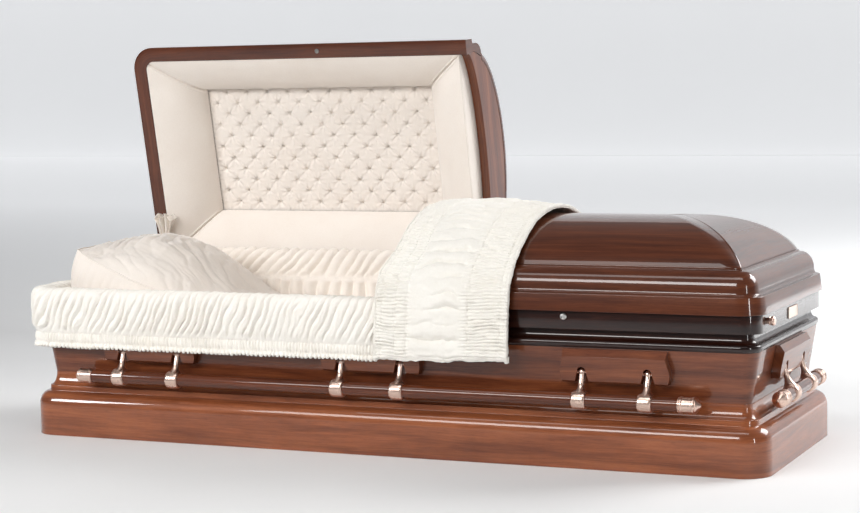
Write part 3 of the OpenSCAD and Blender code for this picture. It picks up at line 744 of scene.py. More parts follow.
def arm_mesh():
    """An arm's casting about the bar's axis: a collar, a neck that leans in and a pivot ball."""
    lean = atan2(PIVOT_IN - BAR_IN, PIVOT_Z - BAR_Z)
    length = sqrt((PIVOT_IN - BAR_IN) ** 2 + (PIVOT_Z - BAR_Z) ** 2)
    w, r = COLLAR_W / 2, COLLAR_R
    band = [(0.0, -w), (r - 0.004, -w), (r - 0.0012, -w + 0.001), (r, -w + 0.004)]
    band += [(r + 0.0006, x) for x in np.linspace(-w + 0.008, w - 0.008, 5)]
    band += [(p[0], -p[1]) for p in band[3::-1]]
    collar = lathe("arm_collar", band, 40)
    # Neck: flat oval sections that narrow from the collar to the ball, closed at both ends
    t = np.linspace(0, 1, 26)
    wide = 0.0075 + (w - 0.0015 - 0.0075) * (1 - smooth(t, 0.0, 0.62)) ** 1.5
    deep = 0.007 + (r - 0.0015 - 0.007) * (1 - smooth(t, 0.0, 0.6)) ** 1.2
    a = np.linspace(0, 2 * pi, 28, endpoint=False)
    oval = np.stack([wide[:, None] * np.cos(a), deep[:, None] * np.sin(a),
                     (0.004 + t * (length - 0.004))[:, None] + 0 * a], 2)
    ends = [np.repeat(oval[k].mean(0)[None], len(a), 0) for k in (0, -1)]
    sections = np.stack([ends[0], *oval, ends[1]])
    neck = build("arm_neck", sections.reshape(-1, 3), grid_faces(*sections.shape[:2], False, True)[0])
    bm = bmesh.new()
    bmesh.ops.create_uvsphere(bm, u_segments=24, v_segments=16, radius=0.0087)
    ball = link("ball", bpy.data.meshes.new("ball"))
    bm.to_mesh(ball.data)
    bm.free()
    up = Matrix.Translation((0, 0, length))
    turned(ball, up @ Matrix.Scale(1.15, 4, (0, 0, 1)))
    pin = turned(lathe("pin", [(0.0, -0.018), (0.004, -0.018), (0.004, 0.018), (0.0, 0.018)], 20), up)
    for part in (neck, ball, pin):
        turned(part, Matrix.Rotation(lean, 4, "X"))
    # The parts are melted into one casting
    arm = join("arm", [collar, neck, ball, pin])
    remesh = arm.modifiers.new("cast", "REMESH")
    remesh.mode, remesh.voxel_size = "VOXEL", 0.0011
    ease = arm.modifiers.new("polish", "SMOOTH")
    ease.factor, ease.iterations = 0.5, 5
    arm.modifiers.new("thin", "DECIMATE").ratio = 0.28
    deps = bpy.context.evaluated_depsgraph_get()
    me = bpy.data.meshes.new_from_object(arm.evaluated_get(deps))
    bpy.data.objects.remove(arm)
    me.polygons.foreach_set("use_smooth", [True] * len(me.polygons))
    return me


def handles():
    """Three handles: a wooden bar with a metal cap at each end, on arms that swing."""
    arm, r, length = arm_mesh(), BAR_R, CAP_LEN
    cap_profile = rounded(
        [(0.0, 0.0), (r + 0.0025, 0.0), (r + 0.0025, 0.003), (r + 0.001, 0.004),
         (r + 0.003, 0.0055), (r + 0.003, 0.009), (r + 0.0012, 0.0105),
         (r + 0.0014, length - 0.0225), (r + 0.003, length - 0.021),
         (r + 0.003, length - 0.0165), (r - 0.0005, length - 0.0145),
         (r + 0.0008, length - 0.0125), (0.0075, length - 0.0035), (0.0045, length - 0.0005),
         (0.0, length)], 0.0009)
    arms = [(k - 1) * PLAQUE_STEP + s * ARM_HALF for k in range(3) for s in (-1, 1)]
    front = Matrix.Translation((0, -(BASE_HY - BAR_IN), BAR_Z)) @ MIRROR_Y
    rear = Matrix.Translation((0, BASE_HY - BAR_IN, BAR_Z))
    foot = Matrix.Translation((BASE_HX - BAR_IN, 0, BAR_Z)) @ Matrix.Rotation(-pi / 2, 4, "Z")
    for side, at, long, xs in (("front", front, SIDE_HANDLE, arms), ("rear", rear, SIDE_HANDLE, arms),
                               ("foot", foot, END_HANDLE, arms[2:4])):
        body = side + "_handle"
        half = long / 2 - CAP_LEN
        line = np.linspace(-half, half, int(2 * half / 0.03))
        bar = lathe(side + "_bar_wood", [(0.0, -half), *((BAR_R, x) for x in line), (0.0, half)])
        grain_along(bar)
        place(turned(bar, at), body, bar_wood, "bar_wood", side + "_bar")
        for k, s in ((1, -1), (2, 1)):
            cap = lathe(f"{side}_cap_{k}_metal", cap_profile)
            turned(moved(cap, half), Matrix.Diagonal((s, 1, 1, 1)), at)
            place(cap, body, copper, "copper", f"{side}_cap_{k}")
        for k, x in enumerate(xs, 1):
            ob = turned(link(f"{side}_arm_{k}_metal", arm.copy()), at @ Matrix.Translation((x, 0, 0)))
            place(ob, body, copper, "copper", f"{side}_arm_{k}")


def grain_along(ob):
    """Turns a lathe's grain to run along its axis."""
    uv = ob.data.uv_layers["grain"].data
    flat = np.zeros(len(uv) * 2, np.float32)
    uv.foreach_get("uv", flat)
    uv.foreach_set("uv", flat.reshape(-1, 2)[:, ::-1].ravel())


# ----------------------------------------------------------------- cloth ----

SKIRT_X1, SKIRT_Y1 = skirt_hi[0] + 9 * MM, skirt_hi[1]
SHUT_ANGLE = radians(12)


def pushed(p, height, towards):
    """A grid of points moved along its normals, on the side that looks towards a direction."""
    n = np.cross(np.gradient(p, axis=0), np.gradient(p, axis=1))
    n /= np.maximum(np.linalg.norm(n, axis=2, keepdims=True), 1e-9)
    side = 1 if (n @ np.array(towards)).mean() > 0 else -1
    return p + side * n * height[:, :, None]


def rope(name, line, r, seed, body, material, slot, n=10, wobble=0.35):
    """A soft round edge that follows a line."""
    tangent = np.gradient(line, axis=0)
    tangent /= np.linalg.norm(tangent, axis=1, keepdims=True)
    ref = np.array([1.0, 0.0, 0.0] if abs(tangent[:, 0]).mean() < 0.7 else [0, 0, 1.0])
    u = np.cross(tangent, ref)
    u /= np.linalg.norm(u, axis=1, keepdims=True)
    v = np.cross(tangent, u)
    run = run_lengths(line)
    a = np.linspace(0, 2 * pi, n, endpoint=False)
    thick = r * (1 + wobble * 2 * fbm(run / (6 * r), 0 * run, seed))
    p = (line[:, None] + (u[:, None] * np.cos(a)[None, :, None]
         + v[:, None] * np.sin(a)[None, :, None]) * thick[:, None, None])
    return place(grid(name, p, run, a * r, wrap_v=True, smooth_angle=180), body, material, slot)


def edge_of(top):
    """The points round the edge of a grid, once."""
    return np.vstack([top[:, 0], top[-1, 1:], top[::-1, -1][1:], top[0, ::-1][1:-1]])


def cushion(name, top, side, bottom, sizes, material, slot):
    """A closed cushion: its top, the side that hangs from the top's edge and a flat base."""
    long, wide, deep = sizes
    nu, nv = top.shape[:2]
    ob = join(name + "_cloth", [
        smooth_grid(name + "_cloth", top, np.linspace(0, long, nu), np.linspace(0, wide, nv)),
        smooth_grid(name + "_side", side, run_lengths(edge_of(top)),
                    np.linspace(0, 1, side.shape[1]) * deep, wrap_u=True),
        build(name + "_base", [(*p[:2], bottom) for p in side[:, -1]],
              [list(range(len(side)))], fix=False)])
    weld(ob.data, 1e-5)
    return place(ob, "body", material, slot, name)


def skirt_path(step):
    """Plan line of the skirt: along the front, round the head end's corner, to the rear."""
    r, x0 = BASE_R, -BASE_HX
    pts, nrm = [], []
    for x in np.arange(SKIRT_X1, x0 + r, -step):
        pts.append((x, -BASE_HY))
        nrm.append((0, -1))
    for a in np.arange(0, 90, degrees(step / r)):
        t = radians(270 - a)
        pts.append((x0 + r + r * cos(t), -BASE_HY + r + r * sin(t)))
        nrm.append((cos(t), sin(t)))
    for y in np.arange(-BASE_HY + r, SKIRT_Y1 - 0.002, step):
        pts.append((x0, y))
        nrm.append((-1, 0))
    return np.array(pts), np.array(nrm)


def skirt():
    """The folded-out skirt: leaning pleats over a rolled crest, shirred band and hem."""
    pleat, small_pleat, crinkle_w, ruffle_w = 0.0225, 0.0092, 0.0094, 0.0125
    pts, nrm = skirt_path(0.002)
    s = run_lengths(pts)
    section, t = resample([(-0.05, 0.366), (-0.046, 0.392), (-0.036, 0.407), (-0.02, 0.4135),
                           (-0.006, 0.4125), (0.004, 0.405), (0.0085, 0.388), (0.0075, 0.35),
                           (0.0055, 0.318), (0.0035, 0.298), (0.002, 0.288), (0.003, 0.276),
                           (0.002, 0.266), (0.0045, 0.259), (0.006, 0.2535), (0.004, 0.252),
                           (0.001, 0.2545)], 0.003)
    p = swept(pts, nrm, section)
    S, T = net(s, t)
    Z = p[:, :, 2].copy()
    over = smooth(T, 0.0, 0.05)
    drop = T - t[np.argmax(section[:, 1])]
    lean = 0.5 * np.clip(drop, 0, 1) + 0.35 * np.clip(-drop, 0, 1)
    wander = 0.06 * fbm(S / 0.12, T / 0.15, 3) + 0.016 * fbm(S / 0.03, T / 0.06, 5)
    phase = (S - lean + wander) / pleat
    size = 0.35 + 1.3 * noise2(np.floor(phase), T / 0.09, 8)
    big = (gathers(phase, 0.36) - 0.72) * size
    fine = gathers((S - 0.8 * lean + 1.4 * wander) / small_pleat, 0.6) - 0.6
    puff = smooth(Z, 0.292, 0.315) * (1 - 0.35 * smooth(drop, 0.02, -0.02))
    puff = puff * (0.55 + 0.45 * smooth(Z, 0.42, 0.36))
    band = smooth(Z, 0.296, 0.288) * smooth(Z, 0.258, 0.264)
    hem = smooth(Z, 0.264, 0.256)
    seams = bell(Z, 0.2905, 0.0022) + bell(Z, 0.265, 0.0022)
    crinkle = gathers((S + 0.005 * fbm(S / 0.02, T / 0.02, 9)) / crinkle_w, 0.8) - 0.5
    crinkle = crinkle * (0.5 + noise2(S / 0.02, T / 0.02, 10))
    ruffle = gathers((S + 0.01 * fbm(S / 0.03, T / 0.02, 19)) / ruffle_w, 0.8) - 0.5
    h = 0.0125 * big * puff + 0.004 * fine * puff * noise2(S / 0.04, T / 0.05, 6)
    h = h + 0.0042 * fbm(S / 0.05, T / 0.05, 31) * over
    h = h + 0.007 * crinkle * band + 0.008 * ruffle * hem - 0.0032 * seams + 0.003 * puff
    p = pushed(p, h * over, (0, -1, 0))
    p[:, :, 2] += 0.004 * fbm(S / 0.018, 0 * T, 41) * hem
    # Towards the rear the roll is low enough for the lid that comes down over it
    Y = p[:, :, 1]
    limit = LID_Z - 0.01 + (hinge[1] - 0.004 - Y) * sin(SHUT_ANGLE) - 0.008 * smooth(Y, 0.05, 0.15)
    p[:, :, 2] -= smooth(Y, -0.3, -0.2) * np.maximum(p[:, :, 2] - limit, 0)
    ob = place(smooth_grid("extendover_cloth", p, s, t), "body", crepe, "crepe", "extendover")


def throw():
    """The short coverlet laid over the foot lid: shirred sides, loose swags between."""
    # Its edges in section [y, z], from the front hem over the crown to the rear hem
    left = [(-0.3765, 0.2585), (-0.3755, 0.3), (-0.371, 0.35), (-0.364, 0.4), (-0.355, 0.44),
            (-0.334, 0.474), (-0.307, 0.509), (-0.264, 0.549), (-0.206, 0.5885), (-0.14, 0.616),
            (-0.07, 0.633), (0.0, 0.638), (0.08, 0.631), (0.16, 0.608), (0.225, 0.576),
            (0.27, 0.545), (0.293, 0.524)]
    right = [(-0.3735, 0.2665), (-0.3725, 0.3), (-0.369, 0.35), (-0.365, 0.395),
             (-0.36, 0.438), (-0.347, 0.462), (-0.328, 0.488), (-0.302, 0.516), (-0.262, 0.548),
             (-0.2, 0.5855), (-0.138, 0.61), (-0.07, 0.624), (0.0, 0.628),
             (0.08, 0.622), (0.16, 0.601), (0.225, 0.571), (0.27, 0.543), (0.293, 0.523)]
    step, ridge_w, swag_w, stitch_w = 0.0022, 0.0088, 0.041, 0.0022
    a, t = resample(left, step)
    b = resample(right, step)[0]
    at, b_at = np.linspace(0, 1, len(t)), np.linspace(0, 1, len(b))
    b = np.stack([np.interp(at, b_at, b[:, k]) for k in (0, 1)], 1)
    x = np.arange(throw_lo[0] - 0.0275, throw_hi[0] - 0.001, 0.0026)
    wide = x[-1] - x[0]
    F, T = net((x - x[0]) / wide, t)
    X = np.broadcast_to(x[:, None], F.shape)
    p = np.zeros((*F.shape, 3))
    # The lid that shuts beside it keeps the upper part of the left edge clear
    clear = 0.0265 * np.maximum(smooth(a[:, 1], 0.475, 0.545), smooth(a[:, 0], -0.3, -0.25))
    p[:, :, 0] = X + clear[None] * (1 - F)
    w = smooth(F, 0.25, 1.0)[:, :, None]
    p[:, :, 1:] = a[None] * (1 - w) + b[None] * w
    top = T / t[-1]
    crown = smooth(top, 0.3, 0.45) * smooth(top, 0.98, 0.75)
    loft = 0.012 * np.sin(pi * F) ** 0.7 * crown + 0.005 * np.sin(pi * F) * (1 - crown)
    warp = 0.016 * fbm(X / 0.1, T / 0.1, 51) + 0.006 * fbm(X / 0.02, T / 0.03, 52)
    ridges = gathers((T + warp) / ridge_w, 0.75) - 0.55
    ridges = ridges * (0.15 + 1.5 * noise2(X / 0.02, T / 0.009, 53))
    sides = (smooth(F, 0.3, 0.2) * smooth(F, 0.0, 0.03)
             + smooth(F, 0.62, 0.7) * smooth(F, 0.985, 0.955))
    middle = smooth(F, 0.22, 0.36) * smooth(F, 0.68, 0.58)
    slow = 0.085 * fbm(X / 0.12, T / 0.17, 61) + 0.024 * fbm(X / 0.045, T / 0.05, 62)
    sag = 0.02 * (F - 0.45) ** 2 / 0.2
    swags = gathers((T + slow + sag) / swag_w, 0.6) - 0.6
    swags = swags * (0.1 + 1.5 * noise2(X / 0.08, T / 0.05, 63))
    soft = fbm(X / 0.04, T / 0.022, 64)
    h = 0.0086 * ridges * sides + 0.012 * swags * middle
    h = h + 0.004 * swags * sides + 0.008 * soft * (0.4 + 0.6 * middle)
    h = h - 0.0026 * sum(bell(F * wide, c * wide, stitch_w) for c in (0.058, 0.16, 0.25, 0.7, 0.93))
    h = h + 0.006 * smooth(F, 0.945, 0.965) * smooth(F, 1.0, 0.985) * (0.6 + 0.5 * ridges)
    ends = smooth(T, 0.0, 0.02) * smooth(t[-1] - T, 0.0, 0.02)
    puff = bell(T, 0.012, 0.009) * (0.6 + 1.1 * noise2(X / 0.022, 0 * T, 71))
    h = (h + loft + 0.005 * puff) * (0.35 + 0.65 * ends)
    p = pushed(p, h, (0, 0, 1))
    p[:, :, 2] += (0.011 * fbm(X / 0.03, 0 * T, 73) - 0.001) * smooth(T, 0.05, 0.0)
    p[:, :, 0] += smooth(F, 0.025, 0.0) * (0.0028 * fbm(T / 0.05, 0 * T, 75) + 0.001)
    p[:, :, 0] += smooth(F, 0.95, 1.0) * (0.006 * fbm(T / 0.03, 0 * T, 76) - 0.002)
    ob = place(smooth_grid("throw_cloth", p, x, t), "foot_lid", crepe_throw, "crepe", "throw")
    # Piping down the left edge, a roll down the right one and a rolled hem at the front
    look = ("foot_lid", crepe_throw, "crepe")
    rope("throw_piping_cloth", p[1], 0.0026, 81, *look)
    rope("throw_roll_cloth", p[-3], 0.0056, 82, *look)
    rope("throw_hem_cloth", p[:, 3] + np.array([0, 0.004, 0.001]), 0.0055, 83, *look, 10, 0.6)


def pillow_top():
    """Top of the pillow: folds fan from the upper corner and run down to the foot end."""
    # U runs from the head end to the foot end, V from front to rear
    U, V = net(np.linspace(0, 1, 150), np.linspace(-1, 1, 170))
    x = np.interp(U, [0, 0.1, 0.35, 0.66, 1.0], [-0.982, -0.945, -0.825, -0.665, -0.5])
    seam = np.interp(U, [0, 0.12, 0.3, 0.62, 0.8, 1.0], [0.508, 0.49, 0.456, 0.4, 0.355, 0.318])
    width = np.interp(U, [0, 0.12, 0.5, 1.0], [0.205, 0.226, 0.25, 0.24])
    ridge = np.interp(U, [0, 0.16, 0.36, 0.5, 0.62, 0.75, 0.86, 1.0],
                      [0.514, 0.532, 0.54, 0.519, 0.48, 0.424, 0.374, 0.33])
    y = width * np.sign(V) * np.abs(V) ** 0.96
    z = seam + (ridge - seam) * (1 - np.abs(V) ** 2.3) ** 0.85
    run, across = U * 0.5, V * 0.25
    fan = np.arctan2(0.36 - across, run + 0.1) * 12.0 + 4.2 * fbm(run / 0.16, across / 0.12, 90)
    folds = (gathers(fan, 0.6) - 0.6) * (0.1 + 1.4 * noise2(run / 0.12, across / 0.06, 91))
    folds = folds + 0.3 * (gathers(fan * 2.7, 0.7) - 0.6) * noise2(run / 0.07, across / 0.05, 94)
    shirring = gathers((across + 0.3 * run + 0.02 * fbm(run / 0.06, across / 0.05, 92)) / 0.0105,
                       0.8) - 0.55
    low = smooth(U, 0.6, 0.95)
    soft = fbm(run / 0.09, across / 0.07, 93, 4)
    inside = smooth(1 - np.abs(V), 0.0, 0.1) * smooth(U, 0, 0.06) * smooth(1 - U, 0, 0.06)
    h = 0.0078 * folds * (1 - 0.3 * low) + 0.0026 * shirring * low + 0.02 * soft
    return np.stack([x, y, np.minimum(z + h * (0.25 + 0.75 * inside), 0.541)], 2)


def pillow():
    """Plump pillow propped at the head: cased top over a boxed side that drops to the bed."""
    bottom, full_height, x_limits = 0.291, 0.16, (-1.004, -0.4755)
    top = pillow_top()
    ring = edge_of(top)
    s = run_lengths(ring)[:, None]
    D = np.linspace(0, 1, 36)
    along = np.roll(ring[:, :2], -3, 0) - np.roll(ring[:, :2], 3, 0)
    out = np.stack([along[:, 1], -along[:, 0]], 1)
    out /= np.maximum(np.linalg.norm(out, axis=1, keepdims=True), 1e-9)
    outward = ((ring[:, :2] - np.array([-0.72, 0.0])) * out).sum(1)
    out = out * (1 if np.sign(outward).mean() > 0 else -1)
    for _ in range(10):
        out = (out + np.roll(out, 1, 0) + np.roll(out, -1, 0)) / 3
    tall = np.clip((ring[:, 2] - bottom) / full_height, 0.3, 1.0)
    bulge = (0.008 + 0.016 * tall)[:, None] * np.sin(pi * D ** 0.85)[None]
    wrinkles = gathers((s + 0.06 * D + 0.03 * fbm(s / 0.05, D[None] * 2, 95)) / 0.028, 0.9) - 0.55
    bulge = bulge + 0.0032 * wrinkles * np.sin(pi * D)[None] ** 0.6
    bulge = bulge + 0.006 * fbm(s / 0.09, D[None] * 1.5, 96) * np.sin(pi * D)[None]
    side = np.zeros((len(ring), len(D), 3))
    side[:, :, :2] = ring[:, None, :2] + out[:, None] * bulge[:, :, None]
    side[:, :, 2] = ring[:, None, 2] + (bottom - ring[:, None, 2]) * D[None]
    side[:, :, 0] = np.clip(side[:, :, 0], *x_limits)
    ob = cushion("pillow", top, side, bottom, (0.5, 0.5, 0.15), velvet, "velvet")
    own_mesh(ob)
    seam = np.vstack([ring, ring[:1]]) + np.array([0, 0, 0.0005])
    ob = rope("pillow_piping", seam, 0.0022, 97, "body", velvet, "velvet", 8, 0.12)
    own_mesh(ob)


def mattress():
    """Bedding with loose folds and edges that drop."""
    (x0, y0, bottom), (x1, y1, top_z) = bed_lo, bed_hi
    U, V = net(np.linspace(x0, x1, 330), np.linspace(y0, y1, 100))
    edge = np.minimum(np.minimum(U - x0, x1 - U), np.minimum(V - y0, y1 - V))
    flow = V * 0.5 + 0.1 * fbm(U / 0.25, V / 0.2, 101)
    folds = gathers((U * 0.55 + flow) / 0.06, 0.9) - 0.55
    folds = folds * (0.25 + 0.9 * noise2(U / 0.16, V / 0.09, 102))
    h = 0.0085 * folds + 0.014 * fbm(U / 0.12, V / 0.1, 103, 4)
    z = top_z - 0.004 + h * smooth(edge, 0.0, 0.05) - 0.017 * (1 - smooth(edge, 0.0, 0.045)) ** 2
    top = np.stack([U, V, np.minimum(z, top_z + 0.006)], 2)
    ring = edge_of(top)
    side = np.repeat(ring[:, None], 8, 1)
    side[:, :, 2] += (bottom + 0.001 - ring[:, None, 2]) * np.linspace(0, 1, 8)
    ob = cushion("mattress", top, side, bottom + 0.001, (1.97, 0.56, 0.25), lining_cloth, "crepe")


def rounded_line(step):
    """Even points and outward normals round the body's outline."""
    pts, nrm, _ = outline(BASE_HX, BASE_HY, BASE_R, 0.01, 20)
    pts, nrm = [np.vstack([a, a[:1]]) for a in (pts, nrm)]
    run = run_lengths(pts)
    at = np.linspace(0, run[-1], int(run[-1] / step), endpoint=False)
    p, n = [np.stack([np.interp(at, run, a[:, k]) for k in (0, 1)], 1) for a in (pts, nrm)]
    return p, n / np.linalg.norm(n, axis=1, keepdims=True), at


def body_lining():
    """Gathered lining round the inside of the body, from the rim down to the bed."""
    rim_z, bed_z, rows, tuck_in, tuck_down = 0.3915, 0.2905, 18, 0.026, 0.0135
    pts, nrm, s = rounded_line(0.0052)
    # Below the bed's top the edge is tucked in over the bedding
    tuck = np.concatenate([np.zeros(rows), np.linspace(0, 1, 6)[1:]])
    z = np.concatenate([np.linspace(rim_z, bed_z, rows), bed_z - tuck_down * tuck[rows:]])
    S, Z = net(s, z)
    drop = rim_z - Z
    phase = (S + 0.35 * drop + 0.03 * fbm(S / 0.1, Z / 0.1, 111)) / 0.024
    h = (gathers(phase, 0.7) - 0.4) * (0.4 + 0.9 * noise2(np.floor(phase), Z / 0.1, 112))
    h = 0.0085 * h * smooth(drop, 0.0, 0.02)
    h = h + 0.008 * np.sin(pi * np.minimum(drop, rim_z - bed_z) / (rim_z - bed_z))
    off = -0.0515 - h * (1 - 0.6 * tuck[None]) - tuck_in * tuck[None]
    p = np.dstack([pts[:, None] + nrm[:, None] * off[:, :, None], Z])
    ob = place(smooth_grid("body_lining_cloth", p, s, drop[0], wrap_u=True),
               "body", lining_cloth, "crepe", "body_lining")


def back_roll():
    """Gathered roll behind the bed, hung from the open lid's lining to the body's."""
    path, t = resample([(0.322, 0.462), (0.312, 0.4735), (0.3, 0.474), (0.29, 0.464),
                        (0.281, 0.44), (0.275, 0.415), (0.268, 0.4), (0.264, 0.393),
                        (0.258, 0.38), (0.25, 0.36), (0.245, 0.336)], 0.0028)
    x = np.arange(-0.985, 0.0235, 0.003)
    X, T = net(x, t)
    Z = np.broadcast_to(path[:, 1], X.shape)
    drop = 0.474 - Z
    phase = (X + 0.75 * drop + 0.05 * fbm(X / 0.14, T / 0.12, 121)) / 0.036
    pleats = (gathers(phase, 0.6) - 0.6) * (0.45 + 1.0 * noise2(np.floor(phase), T / 0.1, 122))
    band = bell(Z, 0.3985, 0.006)
    crinkle = gathers((X + 0.01 * fbm(X / 0.02, T / 0.02, 123)) / 0.009, 0.75) - 0.5
    wave = gathers((X + 0.04 * fbm(X / 0.1, T / 0.1, 124)) / 0.042, 1.0) - 0.5
    h = 0.012 * pleats * smooth(Z, 0.398, 0.412) + 0.004 * crinkle * band - 0.004 * band
    h = h + 0.016 * wave * smooth(Z, 0.392, 0.38) + 0.006 * fbm(X / 0.06, T / 0.05, 125)
    p = pushed(np.stack([X, np.broadcast_to(path[:, 0], X.shape), Z], 2), h, (0, -1, 0))
    ob = smooth_grid("back_roll_cloth", p, x, t)
    ob.data.materials.append(lining_cloth)
    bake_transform(ob)


# The head lid's lining, and how many points lie along each side of it
LINING_X0, LINING_X1, LINING_HY = -1.0025, 0.027, 0.3055
MITRE_COUNTS = (230, 130, 230, 130)


def ring_points(x0, x1, y0, y1):
    """Points round a rectangle, set closer towards its corners."""
    corner = [np.array(c) for c in ((x0, y0), (x1, y0), (x1, y1), (x0, y1))]
    out = []
    for k, count in enumerate(MITRE_COUNTS):
        f = np.linspace(0, 1, count, endpoint=False)
        f = f - 0.55 * np.sin(2 * pi * f) / (2 * pi)
        out.append(corner[k] + (corner[(k + 1) % 4] - corner[k]) * f[:, None])
    return np.vstack(out)


def lid_lining():
    """Four padded coves that meet in mitred corner seams round the tufted panel."""
    outer = ring_points(LINING_X0, LINING_X1, -LINING_HY, LINING_HY)
    inner = ring_points(-0.864, -0.112, -0.196, 0.186)
    t = np.linspace(0, 1, 34)
    T = np.broadcast_to(t, (len(outer), len(t)))
    depth = 0.52 * t + 0.48 * (1 - np.sqrt(np.clip(1 - t ** 2.4, 0, 1)))
    z0, z1 = LID_Z + 0.0015, 0.5045
    p = np.zeros((len(outer), len(t), 3))
    p[:, :, :2] = outer[:, None] + (inner - outer)[:, None] * t[None, :, None]
    p[:, :, 2] = z0 + (z1 - z0) * depth[None]
    # Distance to the nearest mitre, for the double seams
    mitres = np.cumsum([0, *MITRE_COUNTS[:-1]])
    d = np.min([np.linalg.norm(p - p[k], axis=2) for k in mitres], axis=0)
    seam = (-0.0042 * bell(d, 0, 0.0022) + 0.0016 * bell(d, 0.0065, 0.003)
            - 0.001 * bell(d, 0.012, 0.0012))
    s = run_lengths(outer)
    S = np.broadcast_to(s[:, None], T.shape)
    soft = 0.003 * fbm(S / 0.3, T * 0.9, 131) + 0.001 * fbm(S / 0.05, T * 3, 132)
    puff = 0.006 * np.sin(pi * T) * smooth(d, 0.0, 0.08)
    fade = smooth(T, 0.0, 0.04) * smooth(T, 1.0, 0.97)
    p[:, :, 2] -= (seam + soft * smooth(d, 0, 0.03)) * fade + puff
    rim = p[:, :1].copy()
    rim[:, 0, 2] = LID_Z + 0.01
    ob = smooth_grid("lid_lining_cloth", np.concatenate([rim, p], 1), s,
                     np.append([-0.01], t * 0.14), wrap_u=True)
    place(turned(ob, OPEN_LID), "head_lid", velvet, "velvet", "head_lid_lining")
    lid_lining_end()


def lid_lining_end():
    """Cloth wall that closes the lining against the arch of the end board."""
    y, up = np.linspace(-LINING_HY, LINING_HY, 120), np.linspace(0, 1, 14)
    arch = LID_Z + 0.006 + 0.077 * np.sqrt(np.clip(1 - (y / 0.31) ** 2, 0, 1))
    p = np.zeros((len(y), len(up), 3))
    p[:, :, 0] = LINING_X1 + 0.0002 - 0.0012 * np.sin(pi * up)
    p[:, :, 1] = y[:, None]
    p[:, :, 2] = LID_Z + 0.0005 + (arch - LID_Z)[:, None] * up
    wall = smooth_grid("lid_lining_end", p, y + 1, up * 0.08)
    place(turned(wall, OPEN_LID), "head_lid", velvet, "velvet")


def tufted_panel():
    """Diamond-tufted panel: deep pulls on a staggered lattice with puffed cloth between."""
    x0, x1, y0, y1, z = -0.866, -0.11, -0.198, 0.188, 0.5085
    pitch_x, pitch_y, step = 0.035, 0.0345, 0.0022
    x, y = np.arange(x0, x1, step), np.arange(y0, y1, step)
    X, Y = net(x, y)
    # Whole numbers of both diagonal counts a and b are the buttons
    a = ((X + 0.489) / pitch_x + (Y + 0.012) / pitch_y) / 2
    b = ((X + 0.489) / pitch_x - (Y + 0.012) / pitch_y) / 2
    near_a, near_b = np.round(a), np.round(b)
    shift = 0.05 * (noise2(near_a * 3.1, near_b * 2.3, 141) - 0.5)
    da, db = a - near_a - shift, b - near_b + shift
    dx, dy = (da + db) * pitch_x, (da - db) * pitch_y
    r = np.sqrt(dx ** 2 + dy ** 2)
    puff = (np.abs(np.sin(pi * (a - shift))) * np.abs(np.sin(pi * (b + shift)))) ** 0.5
    pull = np.exp(-(r / 0.0036)) * 0.0125 + bell(r, 0, 0.0095) * 0.0022
    spin = 6.283 * noise2(near_a * 1.7, near_b * 1.9, 142) + 2 * fbm(X / 0.02, Y / 0.02, 143)
    rays = 0.6 - np.abs(np.sin(3.5 * np.arctan2(dy, dx) + spin))
    rays = rays * np.exp(-r / 0.0125) * smooth(r, 0.001, 0.004) * 0.0078
    crease = bell(np.minimum(np.abs(da), np.abs(db)), 0, 0.022)
    crease = crease * noise2(X / 0.03, Y / 0.03, 145) ** 1.5 * 0.0017
    h = 0.0006 * puff - pull + rays - crease + 0.0014 * fbm(X / 0.022, Y / 0.022, 144)
    edge = np.minimum(np.minimum(X - x0, x1 - X), np.minimum(Y - y0, y1 - Y))
    p = np.stack([X, Y, z - h * smooth(edge, -0.004, 0.012)], 2)
    ob = smooth_grid("tufted_panel_cloth", p, x - x0, y - y0)
    place(turned(ob, OPEN_LID), "head_lid", velvet, "velvet", "tufted_panel")


def corner_tab():
    """Small gathered tab where the back roll ends at the lid's head corner."""
    u, v = np.linspace(0, 1, 40), np.linspace(-1, 1, 26)
    U, V = net(u, v)
    wide = np.interp(U, [0, 0.5, 0.8, 1], [0.016, 0.024, 0.034, 0.022])
    x = -1.013 + 0.018 * U + V * wide
    y = 0.322 - 0.022 * U + 0.0085 * np.sin(V * 11 + 4 * U) * (0.5 + U)
    z = 0.5 + 0.072 * U + 0.006 * np.cos(V * 6)
    ob = smooth_grid("corner_tab_cloth", np.stack([x, y, z], 2), u * 0.08, (v + 1) * 0.02)
    place(thicken(ob, 0.0022, 0.0), "head_lid", lining_cloth, "crepe")
    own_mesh(ob)


# --------------------------------------------------------- small fittings ----

def lock_bolt():
    """Round bolt with a socket, on the body's front."""
    lo, hi = corners("lock_bolt")
    c = (lo + hi) / 2
    ring = [(0.0, 0.003), (0.004, 0.003), (0.0042, 0.0006), (0.005, 0.0), (0.0064, 0.0003),
            (0.0072, 0.0012), (0.0086, 0.0022), (0.009, 0.0032), (0.0088, 0.0048), (0.0, 0.0048)]
    bolt = lathe("lock_bolt_metal", ring, 36)
    turned(bolt, Matrix.Translation((c[0], lo[1], c[2])) @ Matrix.Rotation(pi / 2, 4, "Z"))
    place(bolt, "body", nickel, "nickel", "lock_bolt")


